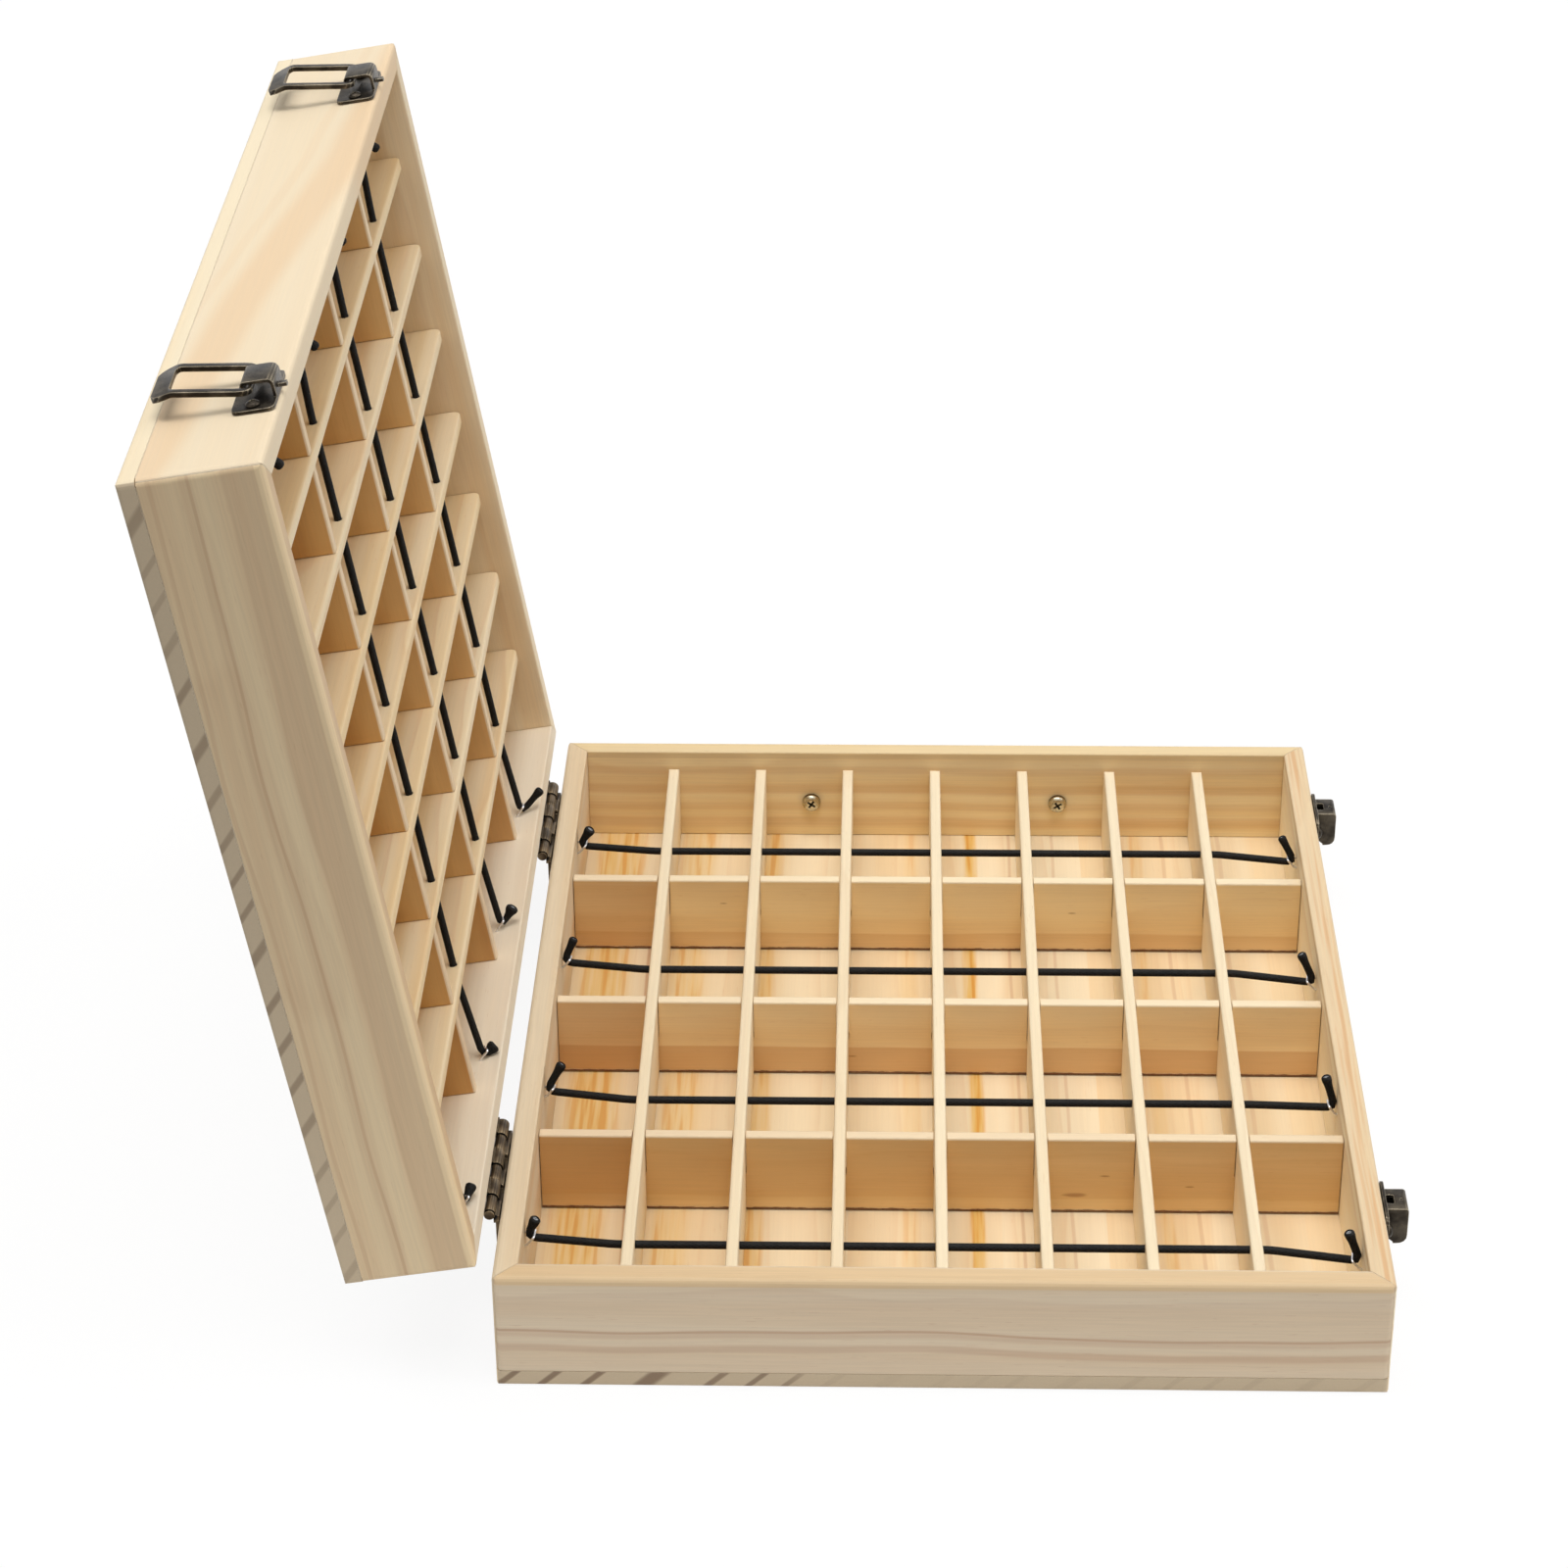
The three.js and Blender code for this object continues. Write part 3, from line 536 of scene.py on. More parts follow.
def glued_board(name, tray, look, seed, amber, brown, sawn_rings):
    """Strips of pine glued side by side along Y, with end grain on the near and far edges."""
    graph = Surface(name)
    along, across, through = grain_frame(graph, tray, "panel")
    strips = graph.add("TexVoronoi", voronoi_dimensions="1D")
    graph.feed(strips.inputs["W"], across / 36 + seed)
    strips.inputs["Randomness"].default_value = 0.8
    strips.inputs["Scale"].default_value = 1
    pick = graph.split(graph.value(strips, "Color"))
    moved = (along + pick[0] * 700, across + pick[1] * 150, through - pick[2] * 45)
    vector = graph.join(*moved)
    colour = graph.mix(graph.step(pick[0], 0.2, 1.0, 0.0, 0.5), look.pale, look.warm)
    bands = graph.noise(vector, (320, look.band_width, look.band_width), seed, 1.5)
    colour = graph.mix(graph.step(bands, 0.45, 0.7, 0.0, look.bands), colour, look.warm)
    rings = ring_lines(graph, look, moved, seed)
    colour = graph.mix(rings * look.grain, colour, look.late)
    wavy = wandering(graph, along, across, 7, seed)
    patchy = graph.noise(graph.join(along, across, through), (60, 3, 3), seed + 2, 2)
    yellow = line_mask(graph, wavy, amber) * graph.step(patchy, 0.25, 0.6, 0.45, 1.0)
    colour = graph.mix(yellow, colour, srgb(236, 192, 108))
    core = yellow * graph.step(patchy, 0.5, 0.64)
    colour = graph.mix(core * 0.7, colour, srgb(222, 148, 62))
    colour = graph.mix(line_mask(graph, wavy, brown), colour, srgb(184, 118, 72))
    edge = CASE_DEPTH / MM / 2
    sawn = graph.step(abs(along), edge - 0.9, edge - 0.4)
    colour = graph.mix(sawn, colour, end_grain(graph, across, through, sawn_rings, seed))
    sanded(graph, look, colour, vector, seed)
    return graph.material


# Metal and elastic


def knuckle_gap_shade(graph, place, end):
    """Painted shade: dark bands over the gaps between the knuckles of a hinge, counted from one
    end of it.
    """
    x, y, z = graph.split(graph.vector("SUBTRACT", place, HINGE / MM))
    away = abs(graph.math("FRACT", (y - end / MM) / (KNUCKLE_PITCH / MM)) - 0.5)
    barrel = graph.step(graph.math("SQRT", x**2 + z**2), 3.0, 3.4, 1.0, 0.0)
    return graph.step(away, 0.455, 0.475) * barrel


def bronze(name, dark, light, rubbed_and_lit, rough=0.42, hinge_end=None):
    """Blackened brass: cloudy patina, paler edges that are partly rubbed wear and partly a painted
    highlight, painted shade in the crevices and between hinge knuckles, and a fine pitted skin.
    """
    graph = Surface(name)
    place = graph.millimetres()
    clouds = graph.noise(place, (7, 7, 7), 3, 2)
    pits = graph.noise(place, (0.5, 0.5, 0.5), 8, 3)
    normal, edge = graph.eased(0.4 * MM)
    colour = graph.mix(graph.step(clouds, 0.36, 0.7), dark, light)
    # Paler edges: partly rubbed wear, partly a painted highlight
    colour = graph.mix(edge * graph.step(clouds, 0.25, 0.6, 0.45, 1.0), colour, rubbed_and_lit)
    # Painted shade: darker in the crevices, driven by an occlusion node
    crevice = graph.add("AmbientOcclusion", samples=4)
    crevice.inputs["Distance"].default_value = 1.6 * MM
    crevice_shade = graph.step(graph.value(crevice, "AO"), 0.35, 0.8, 0.9, 0.0)
    colour = graph.mix(crevice_shade, colour, srgb(20, 17, 14))
    # Painted shade in the gaps between the hinge knuckles
    if hinge_end is not None:
        colour = graph.mix(knuckle_gap_shade(graph, place, hinge_end), colour, srgb(12, 10, 8))
    graph.shade(colour, graph.step(pits, 0.2, 0.8, rough - 0.1, rough + 0.12), 0.85)
    graph.bump(pits, 0.04 * MM, 0.5, normal)
    return graph.material


def plated(name, tint, rough, shaded_height=None):
    """Bright plated steel with specks; a head can be darkened below the given height, as painted
    shade at its foot.
    """
    graph = Surface(name)
    place = graph.millimetres()
    specks = graph.noise(place, (0.8, 0.8, 0.8), 1, 4)
    colour = graph.mix(graph.step(specks, 0.4, 0.75, 0.0, 0.5), tint, srgb(120, 112, 96))
    # Painted shade: the lower side of a head darker, where it meets the surface
    if shaded_height:
        top = shaded_height / MM
        foot_shade = graph.step(graph.split(place)[2], 0.6 * top, top, 0.85, 0.0)
        colour = graph.mix(foot_shade, colour, srgb(72, 58, 36))
    graph.shade(colour, graph.step(specks, 0.2, 0.8, rough, rough + 0.14), 1.0)
    graph.bump(specks, 0.02 * MM, 0.4)
    return graph.material


def painted_recess_shade(name):
    """Painted shade for the dark inside of a screw's cross recess."""
    graph = Surface(name)
    mottle = graph.noise(graph.place(), (0.6 * MM,) * 3, 4, 3)
    colour = graph.mix(graph.step(mottle, 0.3, 0.7), srgb(34, 30, 24), srgb(66, 58, 46))
    graph.shade(colour, graph.step(mottle, 0.3, 0.7, 0.5, 0.7), 0.4, 0.3)
    return graph.material


def braid(name):
    """Woven black sheath: two crossing sets of yarn that run round the cord."""
    graph = Surface(name)
    run, turn, _ = graph.split(graph.place("UV"))
    lay, wind = run * (math.tau / 2.6), turn * (math.tau * 8)
    one, other = graph.math("SINE", wind + lay), graph.math("SINE", wind - lay)
    weave = graph.math("MAXIMUM", one, other)
    dust = graph.noise(graph.place(), (3 * MM,) * 3, 2, 3)
    shade = graph.step(weave, -0.4, 1.0)
    colour = graph.mix(shade, (0.003, 0.003, 0.003, 1), (0.009, 0.008, 0.007, 1))
    colour = graph.mix(graph.step(dust, 0.55, 0.8, 0.0, 0.3), colour, (0.02, 0.018, 0.016, 1))
    graph.shade(colour, graph.step(dust, 0.3, 0.7, 0.56, 0.7), specular=0.18)
    graph.bump(weave, 0.08 * MM, 0.6)
    return graph.material


def cut_rubber(name):
    """The cut end of a cord: grey rubber strands in a black sheath."""
    graph = Surface(name)
    strands = graph.add("TexVoronoi", [graph.place()])
    strands.inputs["Scale"].default_value = 1 / (0.55 * MM)
    tone = graph.step(graph.value(strands, "Distance"), 0.1, 0.6)
    colour = graph.mix(tone, (0.6, 0.62, 0.65, 1), (0.12, 0.125, 0.132, 1))
    graph.shade(colour, graph.step(tone, 0.0, 1.0, 0.55, 0.8))
    graph.bump(tone, 0.1 * MM, 0.6)
    return graph.material


# Pieces


def new_object(name, data):
    made = bpy.data.objects.new(name, data)
    bpy.context.scene.collection.objects.link(made)
    return made


def add_piece(name, mesh, body, matrix=Matrix.Identity(4)):
    piece = new_object(name, mesh)
    piece.matrix_world = matrix
    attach(piece, body)
    return piece


def as_mesh(bm, name, *materials):
    mesh = bpy.data.meshes.new(name)
    bm.to_mesh(mesh)
    bm.free()
    for material in materials:
        mesh.materials.append(material)
    return mesh


def closed_mesh(bm, name, *materials):
    """A mesh of closed bodies, whose faces are turned to look outwards."""
    bmesh.ops.recalc_face_normals(bm, faces=bm.faces)
    return as_mesh(bm, name, *materials)


def join_rings(bm, one, two):
    """The faces between two rings of vertices, of which one may be a single vertex."""
    after = [*one[1:], one[0]], [*two[1:], two[0]]
    return [bm.faces.new(dict.fromkeys(corners)) for corners in zip(one, *after, two)]


def rounded_route(corners, cuts, steps):
    """The points of a bent line whose inner corners are rounded by cutting each leg short."""
    points = [corners[0]]
    for i, cut in enumerate(cuts, 1):
        into = (corners[i - 1] - corners[i]).normalized() * cut
        out = (corners[i + 1] - corners[i]).normalized() * cut
        for k in range(steps + 1):
            share = k / steps
            points.append(corners[i] + into * (1 - share) ** 2 + out * share**2)
    points.append(corners[-1])
    return points


def lengths_along(points):
    """How far along a line each of its points lies."""
    lengths = [0.0]
    for one, two in zip(points, points[1:]):
        lengths.append(lengths[-1] + (two - one).length)
    return lengths


def resample(points, spacing):
    """The same line with points at an even spacing."""
    lengths = lengths_along(points)
    count = max(2, round(lengths[-1] / spacing))
    result = []
    leg = 0
    for k in range(count + 1):
        target = lengths[-1] * k / count
        while leg < len(points) - 2 and lengths[leg + 1] < target:
            leg += 1
        share = (target - lengths[leg]) / (lengths[leg + 1] - lengths[leg])
        result.append(points[leg].lerp(points[leg + 1], share))
    return result


def ring_stations(points):
    """The axes across the line at each point, turned as little as possible on the way."""
    axes = []
    across = None
    last = len(points) - 1
    for i in range(last + 1):
        tangent = (points[min(i + 1, last)] - points[max(i - 1, 0)]).normalized()
        if across is None:
            across = tangent.orthogonal().normalized()
        across = (across - tangent * across.dot(tangent)).normalized()
        axes.append((across.copy(), tangent.cross(across)))
    return axes


def sunk_cap(bm, ring, centre, inward):
    """Closes a tube's end with a narrow lip round a sunk face of the second material."""
    last = ring
    for shrink, sink in ((LIP_INSIDE, 0.0), (SUNK_SIZE, SUNK_END)):
        loop = [
            bm.verts.new(centre + (vert.co - centre) * shrink + inward * sink) for vert in ring
        ]
        join_rings(bm, last, loop)
        last = loop
    bm.faces.new(last).material_index = 1


def sweep(name, points, radii, sides, materials, sunk=False):
    """A round tube with millimetres of length and turns as its UV map; its end faces take the
    second material."""
    bm = bmesh.new()
    layer = bm.loops.layers.uv.new("run")
    angles = [math.tau * k / sides for k in range(sides)]
    rings = []
    for point, radius, (across, up) in zip(points, radii, ring_stations(points)):
        rings.append([
            bm.verts.new(point + radius * (math.cos(a) * across + math.sin(a) * up))
            for a in angles
        ])
    run = 0.0
    for i in range(len(rings) - 1):
        ahead = run + (points[i + 1] - points[i]).length / MM
        for k, face in enumerate(join_rings(bm, rings[i], rings[i + 1])):
            face.smooth = True
            corners = ((run, k), (run, k + 1), (ahead, k + 1), (ahead, k))
            for loop, (length, turn) in zip(face.loops, corners):
                loop[layer].uv = (length, turn / sides)
        run = ahead
    for ring, end, inner in ((rings[0], 0, 1), (rings[-1], -1, -2)):
        if sunk:
            inward = (points[inner] - points[end]).normalized()
            sunk_cap(bm, ring, points[end], inward)
        else:
            bm.faces.new(ring).material_index = 1
    return closed_mesh(bm, name, *materials)


def cord_lines(forward):
    """The line of each cord along X, far row first."""
    return [
        -forward * ((ROWS - 1) / 2 - row) * ROW_PITCH + forward * CORD_FORWARD
        for row in range(ROWS)
    ]


def cord_corners(side, line, forward, shares):
    """The kink beside the last divider, the bend at the staple and the tip of the tail."""
    across, drop, tip, lean, drift = [share * CORD_DIAMETER for share in shares[:5]]
    kink = (COLUMNS / 2 - 1) * COLUMN_PITCH + DIVIDER_THICKNESS / 2 + CORD_DIAMETER
    bend_y = line - forward * across
    tip_x = side * (CORD_WALL_PLACE + CORD_RADIUS - lean)
    return [
        Vector((side * kink, line, CORD_HEIGHT)),
        Vector((side * (CORD_WALL_PLACE + CORD_PINCH), bend_y, TRAY_HEIGHT - drop)),
        Vector((tip_x, bend_y - forward * drift, TRAY_HEIGHT - tip)),
    ]


def flared(points, radius, first_flare, last_flare):
    """The radius at each point of a cord, which swells towards both cut ends and then rounds."""
    lengths = lengths_along(points)
    radii = []
    for length in lengths:
        grow = 1.0
        for away, flare in ((length, first_flare), (lengths[-1] - length, last_flare)):
            share = max(0.0, 1 - away / FLARE_LENGTH)
            grow += (flare - 1) * math.sin(min(1.0, 1.5 * share) * math.pi / 2)
            grow -= 0.3 * flare * max(0.0, share - 1 + LIP_SHARE) / LIP_SHARE
        radii.append(radius * grow)
    return radii


def cord(tray, number, line, forward, hinge_end, latch_end, materials):
    """One elastic cord from cut end to cut end, in place of its CAD rod."""
    start = cord_corners(-1, line, forward, hinge_end)[::-1]
    end = cord_corners(1, line, forward, latch_end)
    cuts = [CORD_BEND, CORD_KINK, CORD_KINK, CORD_BEND]
    even = resample(rounded_route([*start, *end], cuts, CORD_BEND_STEPS), CORD_STEP)
    fine = [TIP_STEP * k for k in range(TIP_STEPS + 1)]
    first = [even[0].lerp(even[2], length / (even[2] - even[0]).length) for length in fine]
    last = [even[-1].lerp(even[-3], length / (even[-3] - even[-1]).length) for length in fine]
    points = [TRAYS[tray] @ point for point in (*first, *even[2:-2], *reversed(last))]
    name = f"{tray}_cord_{number}"
    radii = flared(points, SHEATH_RADIUS[tray], hinge_end[5], latch_end[5])
    mesh = sweep(name, points, radii, CORD_SIDES, materials, sunk=True)
    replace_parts(add_piece(f"{name}_sheath", mesh, tray), name)
    for side, corners in (("hinge", start[::-1]), ("latch", end)):
        staple(f"{tray}_staple_{side}_{number}", tray, corners)


def staple(name, tray, corners):
    """A wire staple over the bend of a cord, its legs driven into the wall."""
    kink, bend, tip = corners
    inward = (kink - bend).normalized() + (tip - bend).normalized()
    middle = bend + 0.25 * CORD_BEND * inward
    inward.normalize()
    side = math.copysign(1, bend.x)
    wall = side * INNER_WIDTH / 2
    across = (kink - bend).cross(tip - bend).normalized()
    across *= math.copysign(1, (TRAYS[tray].to_3x3() @ across).y)
    crown = middle + inward * (SHEATH_RADIUS[tray] + WIRE_RADIUS)
    half = SHEATH_RADIUS[tray] + WIRE_RADIUS + WIRE_SPARE
    far_end = crown + across * half
    near_end = crown - across * (half + WIRE_TOE_OUT)
    toe = Vector((wall - side * WIRE_TOE_GAP, near_end.y, near_end.z - WIRE_TOE_DROP))
    far_leg = Vector((wall + side * WIRE_DEPTH, far_end.y, bend.z))
    near_leg = Vector((wall + side * WIRE_DEPTH, near_end.y, toe.z - WIRE_TOE_GAP))
    corners = [far_leg, far_end, near_end, toe, near_leg]
    route = rounded_route(corners, [WIRE_BEND] * 3, WIRE_BEND_STEPS)
    points = [TRAYS[tray] @ point for point in route]
    mesh = sweep(name, points, [WIRE_RADIUS] * len(points), WIRE_SIDES, [STAPLE_STEEL] * 2)
    add_piece(name, mesh, tray)


def lathe(profile, sides):
    """A closed body turned about Z from (radius, height) points that end on the axis."""
    bm = bmesh.new()
    angles = [math.tau * k / sides for k in range(sides)]
    rings = []
    for radius, height in profile:
        if radius == 0:
            rings.append([bm.verts.new((0, 0, height))] * sides)
        else:
            rings.append([
                bm.verts.new((radius * math.cos(a), radius * math.sin(a), height))
                for a in angles
            ])
    for below, above in zip(rings, rings[1:]):
        join_rings(bm, below, above)
    return bm


def cross_cutter(length, width, top, depth):
    """Two crossed slots with tapered ends, as a driver bit leaves them."""
    bm = bmesh.new()
    half, thick = length / 2, width / 2
    upper = [(-half, -thick), (half, -thick), (half, thick), (-half, thick)]
    lower = [(0.45 * x, 0.7 * y) for x, y in upper]
    for turn in (0, math.pi / 2):
        spin = Matrix.Rotation(turn, 4, "Z")
        ring = [bm.verts.new(spin @ Vector((x, y, top))) for x, y in upper]
        foot = [bm.verts.new(spin @ Vector((x, y, top - depth))) for x, y in lower]
        bm.faces.new(ring)
        bm.faces.new(foot[::-1])
        join_rings(bm, ring, foot)
    return bm


def cut_head(name, profile, sides, slot_length, slot_width, slot_depth, metal):
    """A metal screw whose cross recess takes a painted shade, its head up along Z."""
    top = max(height for _, height in profile)
    cutter_shape = cross_cutter(
        slot_length, slot_width, top + CUTTER_SPARE, slot_depth + CUTTER_SPARE
    )
    body = new_object("body", closed_mesh(lathe(profile, sides), "body"))
    cutter = new_object("cutter", closed_mesh(cutter_shape, "cutter"))
    put(body.modifiers.new("recess", "BOOLEAN"), object=cutter, operation="DIFFERENCE",
        solver="EXACT", use_self=True)
    graph = bpy.context.evaluated_depsgraph_get()
    mesh = bpy.data.meshes.new_from_object(body.evaluated_get(graph))
    mesh.name = name
    for part in (body, cutter):
        bpy.data.objects.remove(part)
    for polygon in mesh.polygons:
        polygon.use_smooth = True
        x, y, z = polygon.center
        in_recess = math.hypot(x, y) < slot_length / 2 and 0 < z < top - 0.3 * slot_depth
        polygon.material_index = int(in_recess)
    mesh.set_sharp_from_angle(angle=SHARP_ANGLE)
    mesh.materials.append(metal)
    mesh.materials.append(RECESS_SHADE)
    return mesh


def domed(radius, rise):
    """The profile of a low round head that starts under the surface it lies on."""
    steps = 8
    profile = [(0, -HEAD_SINK), (radius * 0.8, -HEAD_SINK), (radius * 0.97, 0)]
    for k in range(steps):
        angle = math.pi / 2 * k / steps
        profile.append((radius * math.cos(angle), rise * (0.25 + 0.75 * math.sin(angle))))
    profile.append((0, rise))
    return profile


def prism(bm, outline, thickness, matrix):
    """A flat slab from its outline in X and Y, half of it on each side of Z, then moved."""
    rings = [
        [bm.verts.new(matrix @ Vector((x, y, side * thickness / 2))) for x, y in outline]
        for side in (-1, 1)
    ]
    bm.faces.new(rings[0][::-1])
    bm.faces.new(rings[1])
    join_rings(bm, *rings)


def mitre_outline():
    """The section of a wall as it shows in a mitre, drawn a little inside the wall's own."""
    shy = SEAM_DEPTH
    points = [(WALL_THICKNESS - shy, PANEL_THICKNESS + SEAT_GAP + shy)]
    for radius, middle, start in (
        (RIM_INNER_RADIUS, WALL_THICKNESS - RIM_INNER_RADIUS, 0),
        (RIM_OUTER_RADIUS, RIM_OUTER_RADIUS, math.pi / 2),
    ):
        reach = radius - shy
        for k in range(5):
            angle = start + math.pi / 2 * k / 4
            height = TRAY_HEIGHT - radius + reach * math.sin(angle)
            points.append((middle + reach * math.cos(angle), height))
    points.append((shy, PANEL_THICKNESS + SEAT_GAP + shy))
    corner = CORNER_RADIUS * (1 - math.sqrt(0.5)) + shy
    return [(max(across, corner) * math.sqrt(2), height) for across, height in points]


def add_filler(bm, name, tray, material):
    """A piece of a tray that fills a gap between its boards."""
    mesh = closed_mesh(bm, name, material)
    mesh.transform(TRAYS[tray])
    add_piece(name, mesh, tray)


def foot_strip(tray, number, pine):
    """The lowest bit of a cross divider, which carries the dark line above the floor."""
    bm = bmesh.new()
    half = INNER_WIDTH / 2 - SEAT_GAP
    low, high = CROSS_FOOT - FOOT_STRIP, CROSS_FOOT - SEAM_SPARE
    edge = 0.2 * MM
    outline = [
        (-half + edge, low), (half - edge, low), (half, low + edge), (half, high),
        (-half, high), (-half, low + edge),
    ]
    forward = {"base": -1, "lid": 1}[tray]
    middle = forward * (number - ROWS / 2) * ROW_PITCH
    upright = Matrix.Translation((0, middle, 0)) @ Matrix.Rotation(math.pi / 2, 4, "X")
    prism(bm, outline, DIVIDER_THICKNESS, upright)
    add_filler(bm, f"{tray}_cross_foot_{number}", tray, pine)


def glue_seams(tray):
    """Thin glue lines that fill the mitres and the joint between the walls and the board; their
    pale colour is painted light against the shade in the joints.
    """
    bm = bmesh.new()
    thickness = SEAT_GAP - 2 * SEAM_SPARE
    for turn in range(4):
        along, across = (CASE_DEPTH, CASE_WIDTH) if turn % 2 else (CASE_WIDTH, CASE_DEPTH)
        spin = Matrix.Rotation(turn * math.pi / 2, 4, "Z")
        near, far = -across / 2 + SEAM_DEPTH, -across / 2 + WALL_THICKNESS / 2
        half, inner = along / 2 - CORNER_RADIUS, along / 2 - WALL_THICKNESS
        strip = [(-half, near), (half, near), (inner, far), (-inner, far)]
        height = PANEL_THICKNESS + SEAT_GAP / 2
        prism(bm, strip, thickness, spin @ Matrix.Translation((0, 0, height)))
        corner = Matrix.Translation((-along / 2, -across / 2, 0))
        upright = Matrix.Rotation(math.pi / 4, 4, "Z") @ Matrix.Rotation(math.pi / 2, 4, "X")
        prism(bm, mitre_outline(), thickness, spin @ corner @ upright)
    pine = wood(f"{tray}_glue_pine", tray, "x", LIT_SEAM_LOOKS[tray], 31.0)
    add_filler(bm, f"{tray}_glue", tray, pine)


def place_screw(name, mesh, spot, out, body, turn):
    """Sets a screw with its head pointing out of the surface at the given spot."""
    aim = Vector((0, 0, 1)).rotation_difference(out).to_matrix().to_4x4()
    place = SWINGS[body] @ Matrix.Translation(spot) @ aim @ Matrix.Rotation(turn, 4, "Z")
    return add_piece(name, mesh, body, place)


def dressed(node, material, width):
    """A copy of a CAD fitting with rounded edges and smooth bends, in place of it."""
    source = frame["nodes"][node]
    bm = bmesh.new()
    bm.from_mesh(source.data)
    bmesh.ops.remove_doubles(bm, verts=bm.verts, dist=0.002 * MM)
    bmesh.ops.dissolve_limit(bm, angle_limit=math.radians(1), verts=bm.verts, edges=bm.edges)
    for face in bm.faces:
        face.smooth = True
    name = f"{node}_fine"
    piece = add_piece(name, as_mesh(bm, name, material), body_of(source)[0])
    put(piece.modifiers.new("edges", "BEVEL"), width=width, segments=3, limit_method="ANGLE",
        angle_limit=EASED_ANGLE, harden_normals=True, use_clamp_overlap=True)
    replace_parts(piece, node)


# The camera and the room


def make_camera():
    """The camera that was fitted to the corners of both trays in the photograph."""
    data = bpy.data.cameras.new("camera")
    put(data, lens=CAMERA_LENS, sensor_width=CAMERA_SENSOR, clip_end=50)
    camera = new_object("camera", data)
    heading, tilt, roll = CAMERA_TURNS
    turn = (
        Matrix.Rotation(heading, 4, "Z")
        @ Matrix.Rotation(tilt, 4, "X")
        @ Matrix.Rotation(roll, 4, "Z")
    )
    camera.matrix_world = Matrix.Translation(CAMERA_PLACE) @ turn
    bpy.context.scene.camera = camera


def make_sun(name, azimuth, elevation, strength, angle):
    """A soft sun that stands at the given azimuth from +X towards +Y and elevation, in degrees."""
    data = bpy.data.lights.new(name, "SUN")
    sun = new_object(name, put(data, energy=strength, angle=math.radians(angle)))
    sun.rotation_euler = Euler((0, math.radians(90 - elevation), math.radians(azimuth)))


def make_world():
    """Even soft light from all round; the camera and the metals see plain white."""
    world = bpy.data.worlds.new("studio")
    graph = Graph(world)
    light, white = [
        graph.value(graph.add("Background", [WHITE, strength]))
        for strength in (AMBIENT, 1.0)
    ]
    rays = graph.add("LightPath").outputs
    seen = graph.math("MAXIMUM", rays["Is Camera Ray"], rays["Is Glossy Ray"])
    seen = graph.math("MAXIMUM", seen, rays["Is Transmission Ray"])
    mix = graph.add("MixShader", [seen, light, white])
    graph.add("OutputWorld", [graph.value(mix)])
    bpy.context.scene.world = world
    bpy.context.scene.view_settings.view_transform = "Standard"


def make_floor():
    """A white table that throws light back near the object and less from farther away. The
    camera sees it white, with a faint shadow of the object."""
    mesh = bpy.data.meshes.new("floor")
    square = ((-1, -1), (1, -1), (1, 1), (-1, 1))
    corners = [(TABLE_HALF * x, TABLE_HALF * y, 0) for x, y in square]
    mesh.from_pydata(corners, [], [(0, 1, 2, 3)])
    graph = Surface("floor")
    rays = graph.add("LightPath").outputs
    shown = graph.math("MAXIMUM", rays["Is Camera Ray"], rays["Is Glossy Ray"])
    away = graph.vector("LENGTH", graph.place())
    bounce = graph.step(away, TABLE_NEAR, TABLE_FAR, FLOOR_BOUNCE, ROOM_BOUNCE)
    lit = graph.math("SUBTRACT", 1, shown * FLOOR_GLOW)
    graph.shade(graph.mix(shown, graph.grey(bounce), graph.grey(lit)), 0.9, specular=0.0)
    graph.set("Emission Color", WHITE)
    graph.set("Emission Strength", shown * FLOOR_GLOW)
    mesh.materials.append(graph.material)
    floor = new_object("floor", mesh)
    floor.location.z = -TABLE_DROP


make_camera()
make_world()
make_floor()
for sun in SUNS:
    make_sun(*sun)

